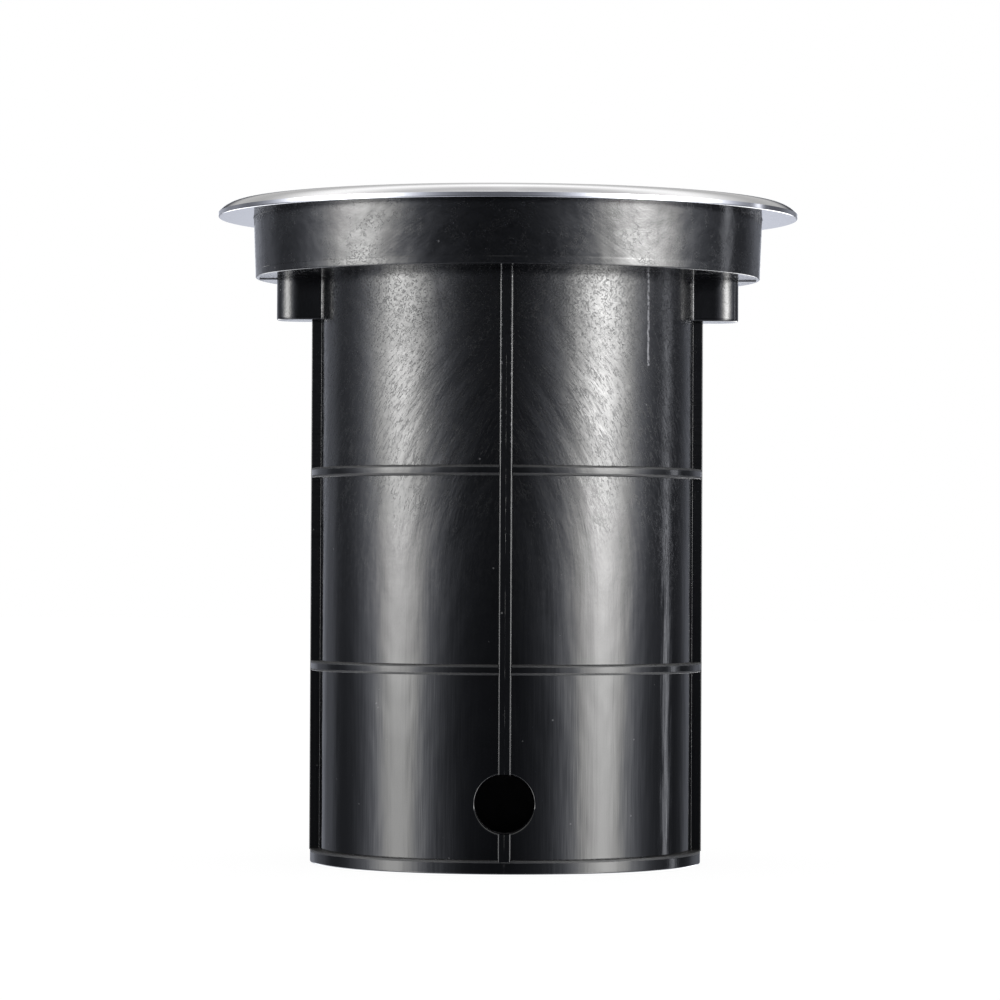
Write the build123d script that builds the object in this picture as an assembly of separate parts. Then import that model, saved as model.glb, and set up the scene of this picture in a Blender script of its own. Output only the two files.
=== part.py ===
from build123d import *
import os
from math import cos, radians, sin

# In ground well light, in millimetres. A plastic mounting sleeve is sunk in the ground. A sealed
# lamp unit hangs in it by its flange, and a stainless trim with a glass closes the top.
# +Z is up, the origin is the middle of the sleeve's underside, and the cable hole faces -Y.

# --- Lamp: a reflector lamp with two pins, as bought -------------------------------------------
lamp_diameter = 49.8
lamp_length = 45.0            # front edge to the end of the base, without the pins
lamp_rim_height = 7.8
lamp_rim_wall = 1.5
lamp_throat = 22.3            # radius just under the rim
lamp_tail = 11.5              # radius at the end of the heat sink
lamp_base_length = 6.0
lamp_base_plug = 3.0
lamp_base_radius = 9.0
lamp_core_radius = 12.6
lamp_cavity_radius = 9.8
lamp_web = 4.0
fin_slot_width = 1.5
fin_slot_count = 20
fin_end = 2.0
front_recess = 11.0
lens_thickness = 3.0
lens_inset = 0.6
lens_clearance = 0.2
lens_seat = 0.8               # lens pocket's floor above the rim's underside
board_pocket_wall = 2.2
collimator_radius = 9.4
collimator_throat = 4.6
collimator_circle = 12.0      # radius of the circle that the three optics stand on
optic_count = 3
led_board_thickness = 1.6
led_size = 3.5
led_height = 1.2
led_pocket = 3.0
led_pocket_depth = 1.8
driver_board_size = (1.2, 15.0, 19.0)
driver_board_inset = 2.0      # how deep the board stands in the base's plug
pin_spacing = 5.3
pin_radius = 0.8
pin_length = 7.0
pin_root = 2.0                # length held in the lamp's base

# --- Lamp holder -------------------------------------------------------------------------------
holder_size = (10.4, 18.0, 9.0)
holder_floor = 1.5
contact_wall = 0.5
contact_length = 5.0

# --- Gimbal: ring, spring clip, frame and pivots -----------------------------------------------
tilt_limit = 15.0             # degrees each way
ring_clearance = 0.3
ring_wall = 1.4
ring_lip_thickness = 1.2
ring_top_margin = 0.9
ring_below_pivot = 5.0
clip_wire = 1.0
clip_bite = 0.35              # how deep the clip's groove goes into the ring
clip_groove_play = 0.1
clip_gap_angle = 30.0
washer_thickness = 0.65
washer_play = 0.05
washer_radius = 3.2
washer_hole_play = 0.1
pivot_radius = 1.5
pivot_play = 0.05
pivot_tip_inset = 0.1         # the pin's tip stops this far inside the ring's wall
pivot_head_radius = 2.6
pivot_head_height = 1.2
pivot_head_gap = 0.6
frame_sheet = 1.2
frame_ear_width = 9.0
frame_edge_gap = 0.3
frame_ledge = 1.2
frame_screw_radius = 1.25
frame_screw_play = 0.1
frame_screw_length = 6.0
frame_head_radius = 2.25
frame_head_height = 1.6
frame_head_gap = 0.4
frame_head_gap_side = 0.15
frame_slot_width = 0.7
frame_slot_depth = 0.8
lug_width = 7.0
lug_height = 8.0
lug_inner_gap = 0.4           # lug to the tilting ring's outer radius

# --- Cover: glass, gasket, trim and screws -----------------------------------------------------
glass_thickness = 6.0
glass_lap = 1.5               # glass radius beyond the housing's mouth
glass_bevel = 0.5
glass_gap = 3.9               # tilted ring to the glass
gasket_under = 1.0
gasket_over = 0.8
gasket_wall = 2.0
gasket_lip = 2.5
gasket_gap = 0.3
trim_diameter = 110.0
trim_lap = 3.0                # glass radius beyond the trim's opening
trim_bevel = 1.0
trim_seat_depth = 0.3         # step in the trim's underside that centres it on the collar
trim_seat_gap = 0.4
trim_rim_land = 0.9
trim_shoulder_height = 1.9
trim_shoulder_width = 4.0
trim_shoulder_fullness = 0.63
trim_crown = 0.1
screw_radius = 2.0
screw_length = 20.0
screw_head_radius = 4.0
screw_head_land = 0.3
screw_socket_flats = 2.5
screw_socket_depth = 1.4
screw_tip_chamfer = 0.5

# --- Lamp housing ------------------------------------------------------------------------------
housing_wall = 2.4
housing_gap = 0.6             # housing to the pot's bore
housing_floor = 3.0
housing_corner = 3.0
seat_web = 1.6                # metal under the gasket
flange_thickness = 3.0
flange_margin = 1.2
flange_gap = 0.4
screw_hole_play = 0.25
well_rim_at_hole = 1.65       # metal between the glass well and a screw hole
well_rim_wall = 1.5
tower_wall = 2.35
tower_gap = 0.3               # top of the towers to the trim

# --- Cable gland -------------------------------------------------------------------------------
gland_thread_radius = 8.0
gland_play = 0.1
gland_bore_radius = 5.5
gland_seal_radius = 6.0
gland_cable_radius = 4.0
gland_hex = 20.0
gland_hex_height = 5.5
gland_collar_length = 8.0     # threaded part below the hexagon
gland_washer_thickness = 1.5
gland_washer_radius = 10.8
gland_nut_height = 12.5
gland_nut_gap = 0.5
gland_nut_floor = 2.0
gland_nut_mouth = 4.8
gland_seal_flange_radius = 7.5
gland_seal_inset = 1.0
locknut_hex = 21.0
locknut_height = 3.5
thread_stub = 1.0
wire_gap = 2.5                # end of the gland's thread to the lamp holder

# --- Terminal block ----------------------------------------------------------------------------
terminal_size = (18.0, 11.0, 10.0)
terminal_offset = 19.6        # middle of the block from the axis, along +Y
terminal_pitch = 9.0
terminal_bore_radius = 2.3
terminal_clamp_wall = 0.7
terminal_clamp_height = 5.0
terminal_clamp_inset = 1.0
terminal_screw_radius = 1.25
terminal_screw_spacing = 5.0
terminal_screw_sink = 1.2
terminal_head_radius = 1.6
terminal_fixing_radius = 1.25
terminal_fixing_play = 0.15
terminal_fixing_depth = 1.8
terminal_fixing_head = 2.2
terminal_fixing_head_height = 1.5

# --- Mounting sleeve ---------------------------------------------------------------------------
pot_height = 110.65           # underside of the collar above the base
pot_wall = 2.0
pot_rib_width = 2.2
pot_rib_height = 1.88
pot_rib_count = 4
pot_ring_height = 1.75        # how far a ring stands out of the pot
pot_ring_thickness = 1.8
pot_ring_count = 2
pot_ring_first = 37.2
pot_ring_pitch = 36.5
pot_edge = 0.3
base_height = 1.73
base_thickness = 2.5
collar_wall = 2.55
collar_lip = 0.45
collar_lip_height = 0.9
collar_lip_slope = 1.2
collar_edge = 0.4
shelf_thickness = 2.35
boss_wall = 1.9
boss_floor = 1.5
boss_fillet = 1.0
boss_edge = 0.4
boss_rib_width = 1.2
boss_rib_height = 0.35
boss_rib_end = 0.6            # where the rib stops short of the collar's edge
insert_radius = 2.8
insert_length = 8.0
insert_play = 0.05
screw_tip_gap = 0.7
cable_hole_diameter = 11.0
cable_hole_height = 12.75
cable_spout_wall = 2.0
cable_spout_length = 3.0      # how far the ring round the cable hole stands into the pot
drain_radius = 6.0
drain_hole_radius = 3.5
drain_hole_circle = 22.0
drain_hole_count = 6
cut_over = 1.0                # how far a cutting tool runs past a face

# --- Radii, from the lamp outwards -------------------------------------------------------------
lamp_radius = lamp_diameter / 2
ring_bore = lamp_radius + ring_clearance
ring_radius = ring_bore + ring_wall
ear_inside = ring_radius + washer_play + washer_thickness
ear_outside = ear_inside + frame_sheet
pivot_end = ear_outside + pivot_head_height
housing_bore = pivot_end + pivot_head_gap
housing_radius = housing_bore + housing_wall
pot_bore = housing_radius + housing_gap
pot_radius = pot_bore + pot_wall
mouth_radius = housing_bore + frame_ledge
frame_radius = mouth_radius - frame_edge_gap
frame_screw_offset = mouth_radius - frame_head_gap_side - frame_head_radius
glass_radius = mouth_radius + glass_lap
gasket_radius = glass_radius + gasket_wall
well_radius = gasket_radius + gasket_gap
screw_hole_radius = screw_radius + screw_hole_play
screw_offset = well_radius + well_rim_at_hole + screw_hole_radius
tower_radius = screw_hole_radius + tower_wall
flange_radius = screw_offset + tower_radius + flange_margin
collar_bore = flange_radius + flange_gap
collar_radius = collar_bore + collar_wall
lip_radius = collar_radius + collar_lip
trim_seat_radius = lip_radius + trim_seat_gap
opening_radius = glass_radius - trim_lap
trim_radius = trim_diameter / 2
boss_radius = insert_radius + boss_wall
cable_hole_radius = cable_hole_diameter / 2

# --- Heights, from the base upwards and from the glass downwards -------------------------------
shelf_level = pot_height + shelf_thickness
seat_level = shelf_level + seat_web
glass_level = seat_level + gasket_under
glass_top = glass_level + glass_thickness
trim_level = glass_top + gasket_over
rim_level = trim_level - trim_seat_depth
shoulder_level = rim_level + trim_rim_land
face_level = shoulder_level + trim_shoulder_height
top_level = face_level + trim_crown
head_cone_level = face_level - screw_head_land - (screw_head_radius - screw_radius)
screw_tip = face_level - screw_length
insert_level = shelf_level - insert_length
boss_level = screw_tip - screw_tip_gap - boss_floor
ledge_level = seat_level - frame_head_gap - frame_head_height - frame_sheet

ring_height = ring_lip_thickness + lamp_rim_height + clip_wire + clip_groove_play + ring_top_margin
ring_above_pivot = ring_height - ring_below_pivot
tilt_rise = ring_radius * sin(radians(tilt_limit)) + ring_above_pivot * cos(radians(tilt_limit))
pivot_level = glass_level - glass_gap - tilt_rise
ring_level = pivot_level - ring_below_pivot
lamp_rim_level = ring_level + ring_lip_thickness
lamp_front = lamp_rim_level + lamp_rim_height
lamp_end = lamp_front - lamp_length
heatsink_level = lamp_end + lamp_base_length
recess_level = lamp_front - front_recess
lens_pocket_radius = lamp_radius - lamp_rim_wall
lamp_slope = (lamp_throat - lamp_tail) / (lamp_rim_level - heatsink_level)
board_pocket_radius = lamp_tail + lamp_slope * (recess_level - heatsink_level) - board_pocket_wall
holder_level = lamp_end - holder_size[2]
thread_top = holder_level - wire_gap
floor_level = thread_top - thread_stub - locknut_height
terminal_level = floor_level + terminal_clamp_height
terminal_fixing_low = floor_level - terminal_fixing_depth
housing_level = floor_level - housing_floor
hex_top = housing_level - gland_washer_thickness
hex_level = hex_top - gland_hex_height
gland_nut_top = hex_level - gland_nut_gap
gland_nut_level = gland_nut_top - gland_nut_height
gland_collar_level = hex_level - gland_collar_length
gland_seal_level = gland_nut_level + gland_nut_floor


def turned(*outline):
    """Solid turned about Z from an outline of (radius, height) points."""
    face = make_face(Polyline(*outline, close=True))
    return revolve(Plane.XZ * face, Axis.Z)


def tube(radius, low, high, bore=0.0):
    """Cylinder about Z between two heights, with a bore if one is given."""
    body = Pos(0, 0, low) * extrude(Circle(radius), high - low)
    if bore > 0:
        body -= Pos(0, 0, low) * extrude(Circle(bore), high - low)
    return body


def rounded_disc(radius, low, high, edge):
    """Disc about Z whose outer edges are rounded."""
    face = make_face(Polyline((0, low), (radius, low), (radius, high), (0, high), close=True))
    rim = face.vertices().sort_by(Axis.X)[-2:]
    return revolve(Plane.XZ * fillet(rim, edge), Axis.Z)


def hex_prism(flats, low, high):
    """Hexagonal prism about Z, measured across its flats."""
    return Pos(0, 0, low) * extrude(RegularPolygon(flats / 2, 6, major_radius=False), high - low)


def block(size, middle, low):
    """Box of a given size whose underside is at a height, centred on a point of the plan."""
    return Pos(middle[0], middle[1], low + size[2] / 2) * Box(*size)


def about_axis(count, shape, start=0.0):
    """Copies of a shape spread evenly about Z."""
    return [Rot(0, 0, start + 360 / count * turn) * shape for turn in range(count)]


def pair(shape, start=0.0):
    """The shape and its twin on the other side of the axis, as one node of two solids."""
    return Compound(about_axis(2, shape, start))


# --- Mounting sleeve ---------------------------------------------------------------------------
def sleeve_pot():
    """Outside of the pot: cylinder, base disc, rings and upright ribs."""
    pot = tube(pot_radius, 0, shelf_level)
    pot += rounded_disc(pot_radius + base_height, 0, base_thickness, pot_edge)
    for turn in range(pot_ring_count):
        middle = pot_ring_first + turn * pot_ring_pitch
        low = middle - pot_ring_thickness / 2
        pot += rounded_disc(pot_radius + pot_ring_height, low, low + pot_ring_thickness, pot_edge)
    reach = pot_radius + pot_rib_height
    plan = Pos(reach / 2, 0) * Rectangle(reach, pot_rib_width)
    rib = extrude(fillet(plan.vertices().sort_by(Axis.X)[-2:], pot_edge), pot_height)
    for copy in about_axis(pot_rib_count, rib):
        pot += copy
    return pot


def sleeve_collar():
    """Outside of the wide collar, with the small lip at its top that stands in the trim's seat."""
    lip_low = rim_level - collar_lip_height
    slope_low = lip_low - collar_lip_slope
    outline = Polyline(
        (0, pot_height),
        (collar_radius, pot_height),
        (collar_radius, slope_low),
        (lip_radius, lip_low),
        (lip_radius, trim_level),
        (0, trim_level),
        close=True,
    )
    face = make_face(outline)
    outer_corners = face.vertices().filter_by(lambda corner: corner.X > pot_radius)
    lower_edge = outer_corners.sort_by(Axis.Y)[:1]
    return revolve(Plane.XZ * fillet(lower_edge, collar_edge), Axis.Z)


def sleeve_bosses():
    """Two lobes under the collar that hold the thread inserts, run into the pot by fillets."""
    plan = Circle(pot_radius) + Rectangle(2 * screw_offset, 2 * boss_radius)
    for side in (-1, 1):
        plan += Pos(side * screw_offset, 0) * Circle(boss_radius)
    joints = plan.vertices().filter_by(lambda point: abs(point.X) < pot_radius and abs(point.Y) > boss_edge)
    plan = fillet(joints, boss_fillet)
    lobes = Pos(0, 0, boss_level) * extrude(plan, pot_height - boss_level)
    lobes = fillet(lobes.faces().sort_by(Axis.Z)[0].edges(), boss_edge)
    for side in (-1, 1):
        inner = screw_offset + boss_radius / 2
        outer = collar_radius - boss_rib_end
        size = (outer - inner, boss_rib_width, 2 * boss_rib_height)
        lobes += block(size, (side * (inner + outer) / 2, 0), pot_height - boss_rib_height)
    return lobes


def cable_way(radius, start, end):
    """Cylinder on the cable hole's axis, between two distances from Z towards -Y."""
    return Pos(0, -start, cable_hole_height) * Rot(90, 0, 0) * extrude(Circle(radius), end - start)


def mounting_sleeve():
    """Moulded sleeve: pot, collar with its inner shelf, screw bosses, drains and cable hole."""
    sleeve = sleeve_pot() + sleeve_collar() + sleeve_bosses()
    sleeve -= tube(pot_bore, base_thickness, shelf_level + cut_over)
    spout_radius = cable_hole_radius + cable_spout_wall
    sleeve += cable_way(spout_radius, pot_bore - cable_spout_length, pot_bore + pot_wall / 2)
    sleeve -= tube(collar_bore, shelf_level, trim_level + cut_over)
    for side in (-1, 1):
        sleeve -= Pos(side * screw_offset, 0) * tube(insert_radius, insert_level, shelf_level + cut_over)
        sleeve -= Pos(side * screw_offset, 0) * tube(screw_hole_radius, boss_level + boss_floor, insert_level)
    sleeve -= tube(drain_radius, -cut_over, base_thickness + cut_over)
    drain = Pos(drain_hole_circle, 0) * tube(drain_hole_radius, -cut_over, base_thickness + cut_over)
    for copy in about_axis(drain_hole_count, drain, 180 / drain_hole_count):
        sleeve -= copy
    return sleeve - cable_way(cable_hole_radius, 0, pot_radius + pot_rib_height + cut_over)


def thread_inserts():
    """Brass inserts pressed into the bosses from above."""
    insert = tube(insert_radius, insert_level, shelf_level, screw_radius + insert_play)
    return pair(Pos(screw_offset, 0) * insert)


# --- Cover -------------------------------------------------------------------------------------
def screw_head_space(top):
    """Space that a countersunk head and its shank fill, up to a given height."""
    shank_low = trim_level - cut_over
    return turned(
        (0, shank_low),
        (screw_hole_radius, shank_low),
        (screw_hole_radius, head_cone_level + screw_hole_play),
        (screw_head_radius, face_level - screw_head_land),
        (screw_head_radius, top),
        (0, top),
    )


def trim_ring():
    """Stainless trim: thin rim, rounded shoulder, nearly flat face and a bevelled opening."""
    shoulder = (trim_radius, shoulder_level)
    half_way = (
        trim_radius - trim_shoulder_width * (1 - trim_shoulder_fullness),
        shoulder_level + trim_shoulder_height * trim_shoulder_fullness,
    )
    face_edge = (trim_radius - trim_shoulder_width, face_level)
    outline = ThreePointArc(shoulder, half_way, face_edge)
    outline += Polyline(
        face_edge,
        (opening_radius + trim_bevel, top_level),
        (opening_radius, top_level - trim_bevel),
        (opening_radius, trim_level),
        (trim_seat_radius, trim_level),
        (trim_seat_radius, rim_level),
        (trim_radius, rim_level),
        shoulder,
    )
    ring = revolve(Plane.XZ * make_face(outline), Axis.Z)
    for copy in about_axis(2, Pos(screw_offset, 0) * screw_head_space(top_level + cut_over)):
        ring -= copy
    return ring


def trim_screws():
    """Two countersunk screws that hold the cover and the lamp unit in the sleeve."""
    screw = turned(
        (0, screw_tip),
        (screw_radius - screw_tip_chamfer, screw_tip),
        (screw_radius, screw_tip + screw_tip_chamfer),
        (screw_radius, head_cone_level),
        (screw_head_radius, face_level - screw_head_land),
        (screw_head_radius, face_level),
        (0, face_level),
    )
    screw -= hex_prism(screw_socket_flats, face_level - screw_socket_depth, face_level + cut_over)
    return pair(Pos(screw_offset, 0) * screw)


def cover_glass():
    """Toughened glass disc with ground edges."""
    return turned(
        (0, glass_level),
        (glass_radius - glass_bevel, glass_level),
        (glass_radius, glass_level + glass_bevel),
        (glass_radius, glass_top - glass_bevel),
        (glass_radius - glass_bevel, glass_top),
        (0, glass_top),
    )


def glass_gasket():
    """Silicone channel that wraps the edge of the glass."""
    lip = glass_radius - gasket_lip
    return tube(gasket_radius, seat_level, trim_level, lip) - cover_glass()


# --- Lamp housing ------------------------------------------------------------------------------
def lamp_housing():
    """Die-cast canister with a flange, a well for the glass, screw towers and two inner lugs."""
    tower_level = trim_level - tower_gap
    housing = turned(
        (0, housing_level),
        (housing_radius - housing_corner, housing_level),
        (housing_radius, housing_level + housing_corner),
        (housing_radius, shelf_level),
        (flange_radius, shelf_level),
        (flange_radius, shelf_level + flange_thickness),
        (well_radius + well_rim_wall, shelf_level + flange_thickness),
        (well_radius + well_rim_wall, tower_level),
        (0, tower_level),
    )
    for copy in about_axis(2, Pos(screw_offset, 0) * tube(tower_radius, shelf_level, tower_level)):
        housing += copy
    housing -= tube(well_radius, seat_level, tower_level + cut_over)
    housing -= tube(mouth_radius, ledge_level, seat_level + cut_over)
    housing -= tube(housing_bore, floor_level, ledge_level + cut_over)
    for copy in about_axis(2, frame_lug()):
        housing += copy
    thread = tube(frame_screw_radius, ledge_level + frame_sheet - frame_screw_length, ledge_level + cut_over)
    for copy in about_axis(2, Pos(frame_screw_offset, 0) * thread):
        housing -= copy
    hole = tube(screw_hole_radius, shelf_level - cut_over, tower_level + cut_over)
    for copy in about_axis(2, Pos(screw_offset, 0) * hole):
        housing -= copy
    housing -= tube(gland_thread_radius + gland_play, housing_level - cut_over, floor_level + cut_over)
    return housing - terminal_place(tube(terminal_fixing_radius, terminal_fixing_low, floor_level + cut_over))


def frame_lug():
    """Lug inside the housing's wall that takes a screw of the gimbal frame."""
    inside = ring_radius + lug_inner_gap
    outside = housing_bore + housing_wall / 2
    middle = ((inside + outside) / 2, 0)
    return block((outside - inside, lug_width, lug_height), middle, ledge_level - lug_height)


# --- Gimbal ------------------------------------------------------------------------------------
def gimbal_frame():
    """Stamped ring on the housing's ledge, with two ears bent down to the pivots."""
    top = ledge_level + frame_sheet
    frame = tube(frame_radius, ledge_level, top, ear_inside)
    ear_plan = Pos(0, (top + pivot_level) / 2) * Rectangle(frame_ear_width, top - pivot_level)
    ear_plan += Pos(0, pivot_level) * Circle(frame_ear_width / 2)
    ear_plan -= Pos(0, pivot_level) * Circle(pivot_radius)
    ear = Pos(ear_inside, 0, 0) * extrude(Plane.YZ * ear_plan, frame_sheet, dir=(1, 0, 0))
    for copy in about_axis(2, ear, 90):
        frame += copy
    hole = tube(frame_screw_radius + frame_screw_play, ledge_level - cut_over, top + cut_over)
    for copy in about_axis(2, Pos(frame_screw_offset, 0) * hole):
        frame -= copy
    return frame


def frame_screws():
    """Slotted screws that hold the gimbal frame on its lugs."""
    top = ledge_level + frame_sheet
    screw = tube(frame_screw_radius, top - frame_screw_length, top)
    screw += rounded_disc(frame_head_radius, top, top + frame_head_height, pot_edge)
    return pair(Pos(frame_screw_offset, 0) * slotted(screw, frame_head_radius, top + frame_head_height))


def pivot_bar(radius, start, end, bore=0.0):
    """Cylinder or ring at the pivots' height, between two distances from the axis along X."""
    profile = Circle(radius)
    if bore > 0:
        profile -= Circle(bore)
    return Pos(start, 0, pivot_level) * extrude(Plane.YZ * profile, end - start, dir=(1, 0, 0))


def pivot_pins():
    """Headed pins fixed in the frame's ears; the lamp ring turns on their shanks."""
    pin = pivot_bar(pivot_radius, ring_bore + pivot_tip_inset, ear_outside)
    pin += pivot_bar(pivot_head_radius, ear_outside, pivot_end)
    return pair(pin, 90)


def friction_washers():
    """Nylon washers between the ears and the ring, which hold the tilt where it is set."""
    washer = pivot_bar(washer_radius, ring_radius + washer_play, ear_inside, pivot_radius + washer_hole_play)
    return pair(washer, 90)


def lamp_ring():
    """Ring that carries the lamp, with a lip below, a clip groove and two pivot holes."""
    top = ring_level + ring_height
    ring = tube(ring_radius, ring_level, top, lamp_throat + ring_clearance)
    ring -= tube(ring_bore, lamp_rim_level, top + cut_over)
    groove_low = lamp_front - clip_groove_play
    ring -= tube(ring_bore + clip_bite, groove_low, groove_low + clip_wire + 2 * clip_groove_play)
    hole = pivot_bar(pivot_radius + pivot_play, ring_bore - cut_over, ring_radius + cut_over)
    for copy in about_axis(2, hole, 90):
        ring -= copy
    return ring


def lamp_clip():
    """Open spring ring that holds the lamp down in its ring."""
    wire_radius = clip_wire / 2
    middle = ring_bore + clip_bite - wire_radius - clip_groove_play / 2
    section = Pos(middle, lamp_front + wire_radius) * Circle(wire_radius)
    return Rot(0, 0, 90 + clip_gap_angle / 2) * revolve(Plane.XZ * section, Axis.Z, 360 - clip_gap_angle)


# --- Lamp --------------------------------------------------------------------------------------
def lamp_heatsink():
    """Finned metal body of the lamp, open at the front for the optics."""
    outside = turned(
        (0, heatsink_level),
        (lamp_tail, heatsink_level),
        (lamp_throat, lamp_rim_level),
        (lamp_radius, lamp_rim_level),
        (lamp_radius, lamp_front),
        (0, lamp_front),
    )
    body = outside - tube(lens_pocket_radius, lamp_rim_level + lens_seat, lamp_front + cut_over)
    body -= tube(board_pocket_radius, recess_level, lamp_front)
    body -= tube(lamp_cavity_radius, heatsink_level - cut_over, recess_level - lamp_web)
    fin_low = heatsink_level + fin_end
    fin_high = recess_level - fin_end
    size = (lamp_radius, fin_slot_width, fin_high - fin_low)
    slot = block(size, (lamp_core_radius + lamp_radius / 2, 0), fin_low)
    for copy in about_axis(fin_slot_count, slot):
        body -= copy
    return body


def optic_places(shape):
    """Copies of a shape on the three optics' axes."""
    return about_axis(optic_count, Pos(collimator_circle, 0) * shape, 90)


def lamp_lens():
    """Clear optic plate with a cone under it for each LED."""
    top = lamp_front - lens_inset
    low = top - lens_thickness
    led_base = recess_level + led_board_thickness
    lens = tube(lens_pocket_radius - lens_clearance, low, top)
    cone = turned((0, led_base), (collimator_throat, led_base), (collimator_radius, low), (0, low))
    pocket = tube(led_pocket, led_base, led_base + led_pocket_depth)
    for copy in optic_places(cone - pocket):
        lens += copy
    return lens


def led_board():
    """Round metal-backed circuit board in the lamp's front recess."""
    return tube(board_pocket_radius - lens_clearance, recess_level, recess_level + led_board_thickness)


def led_chips():
    """One LED on the board under each optic."""
    low = recess_level + led_board_thickness
    return Compound(optic_places(block((led_size, led_size, led_height), (0, 0), low)))


def driver_board():
    """Upright circuit board in the lamp's cavity, stood in a slot of the base's plug."""
    return block(driver_board_size, (0, 0), heatsink_level + lamp_base_plug - driver_board_inset)


def lamp_base():
    """Moulded base that closes the lamp's tail and holds its pins."""
    base = turned(
        (0, lamp_end),
        (lamp_base_radius, lamp_end),
        (lamp_tail, heatsink_level),
        (lamp_cavity_radius, heatsink_level),
        (lamp_cavity_radius, heatsink_level + lamp_base_plug),
        (0, heatsink_level + lamp_base_plug),
    )
    return base - driver_board() - lamp_pins()


def pin_places(shape):
    """Two copies of a shape on the lamp's pins."""
    return about_axis(2, Pos(pin_spacing / 2, 0) * shape, 90)


def lamp_pins():
    """Two contact pins."""
    return Compound(pin_places(tube(pin_radius, lamp_end - pin_length, lamp_end + pin_root)))


def holder_contacts():
    """Spring sleeves in the holder that grip the pins."""
    low = lamp_end - pin_length
    return Compound(pin_places(tube(pin_radius + contact_wall, low, low + contact_length, pin_radius)))


def lamp_holder():
    """Ceramic holder on the lamp's pins."""
    holder = block(holder_size, (0, 0), holder_level)
    for copy in pin_places(tube(pin_radius + contact_wall, holder_level + holder_floor, lamp_end + cut_over)):
        holder -= copy
    return holder


# --- Terminal block ----------------------------------------------------------------------------
def terminal_place(shape):
    """The shape moved to the middle of the terminal block."""
    return Pos(0, terminal_offset) * shape


def terminal_poles(shape):
    """Copies of a shape on the two poles of the terminal block."""
    return [terminal_place(Pos(side * terminal_pitch / 2, 0) * shape) for side in (-1, 1)]


def terminal_screw_places(shape):
    """Copies of a shape on the two screws of every pole."""
    spread = [Pos(0, side * terminal_screw_spacing / 2) * shape for side in (-1, 1)]
    return [copy for screw in spread for copy in terminal_poles(screw)]


def terminal_bar(radius, length):
    """Bar along Y at the height of the block's bores."""
    return Pos(0, length / 2, terminal_level) * extrude(Plane.XZ * Circle(radius), length)


def slotted(screw, radius, top):
    """The screw with a straight slot across its head."""
    return screw - block((3 * radius, frame_slot_width, 2 * frame_slot_depth), (0, 0), top - frame_slot_depth)


def terminal_screws():
    """Clamp screws of both poles."""
    head_top = floor_level + terminal_size[2] - terminal_screw_sink
    screw = tube(terminal_screw_radius, terminal_level, head_top)
    screw += tube(terminal_head_radius, terminal_level + terminal_bore_radius, head_top)
    return Compound(terminal_screw_places(slotted(screw, terminal_head_radius, head_top)))


def terminal_clamps():
    """Brass tubes in which the wires are clamped, each with two screw holes in its upper wall."""
    length = terminal_size[1] - 2 * terminal_clamp_inset
    inner = terminal_bore_radius - terminal_clamp_wall
    clamp = terminal_bar(terminal_bore_radius, length) - terminal_bar(inner, length + cut_over)
    hole = tube(terminal_screw_radius, terminal_level, terminal_level + 2 * terminal_bore_radius)
    for side in (-1, 1):
        clamp -= Pos(0, side * terminal_screw_spacing / 2) * hole
    return Compound(terminal_poles(clamp))


def terminal_fixing_screw():
    """Screw between the poles that holds the block to the housing's floor."""
    head_top = terminal_level + terminal_fixing_head_height
    screw = tube(terminal_fixing_radius, terminal_fixing_low, terminal_level)
    screw += rounded_disc(terminal_fixing_head, terminal_level, head_top, pot_edge)
    return terminal_place(slotted(screw, terminal_fixing_head, head_top))


def terminal_block():
    """Two-pole insulating block with a bore and two screw wells a pole, and a fixing hole."""
    body = terminal_place(block(terminal_size, (0, 0), floor_level))
    top = floor_level + terminal_size[2] + cut_over
    for copy in terminal_poles(terminal_bar(terminal_bore_radius, terminal_size[1] + cut_over)):
        body -= copy
    for copy in terminal_screw_places(tube(terminal_head_radius, terminal_level, top)):
        body -= copy
    fixing = tube(terminal_fixing_radius + terminal_fixing_play, floor_level - cut_over, top)
    fixing += tube(terminal_fixing_head + terminal_fixing_play, terminal_level, top)
    return body - terminal_place(fixing)


# --- Cable gland -------------------------------------------------------------------------------
def gland_body():
    """Threaded gland through the housing's floor, with its hexagon outside."""
    body = tube(gland_thread_radius, gland_collar_level, thread_top)
    body += hex_prism(gland_hex, hex_level, hex_top)
    body -= tube(gland_bore_radius, gland_collar_level - cut_over, thread_top + cut_over)
    return body - tube(gland_seal_radius, gland_collar_level - cut_over, hex_level - gland_seal_inset)


def gland_washer():
    """Sealing washer between the gland's hexagon and the housing's floor."""
    return tube(gland_washer_radius, hex_top, housing_level, gland_thread_radius + gland_play)


def gland_locknut():
    """Nut that holds the gland from inside the housing."""
    nut = hex_prism(locknut_hex, floor_level, floor_level + locknut_height)
    return nut - tube(gland_thread_radius, floor_level, floor_level + locknut_height)


def gland_seal():
    """Rubber sleeve that closes on the cable."""
    seal = tube(gland_seal_radius, gland_collar_level, hex_level - gland_seal_inset)
    seal += tube(gland_seal_flange_radius, gland_seal_level, gland_collar_level)
    return seal - tube(gland_cable_radius, gland_seal_level - cut_over, hex_level + cut_over)


def gland_nut():
    """Cap nut that squeezes the seal."""
    nut = hex_prism(gland_hex, gland_nut_level, gland_nut_top)
    nut -= tube(gland_thread_radius, gland_seal_level, gland_nut_top + cut_over)
    return nut - tube(gland_nut_mouth, gland_nut_level - cut_over, gland_seal_level + cut_over)


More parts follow.
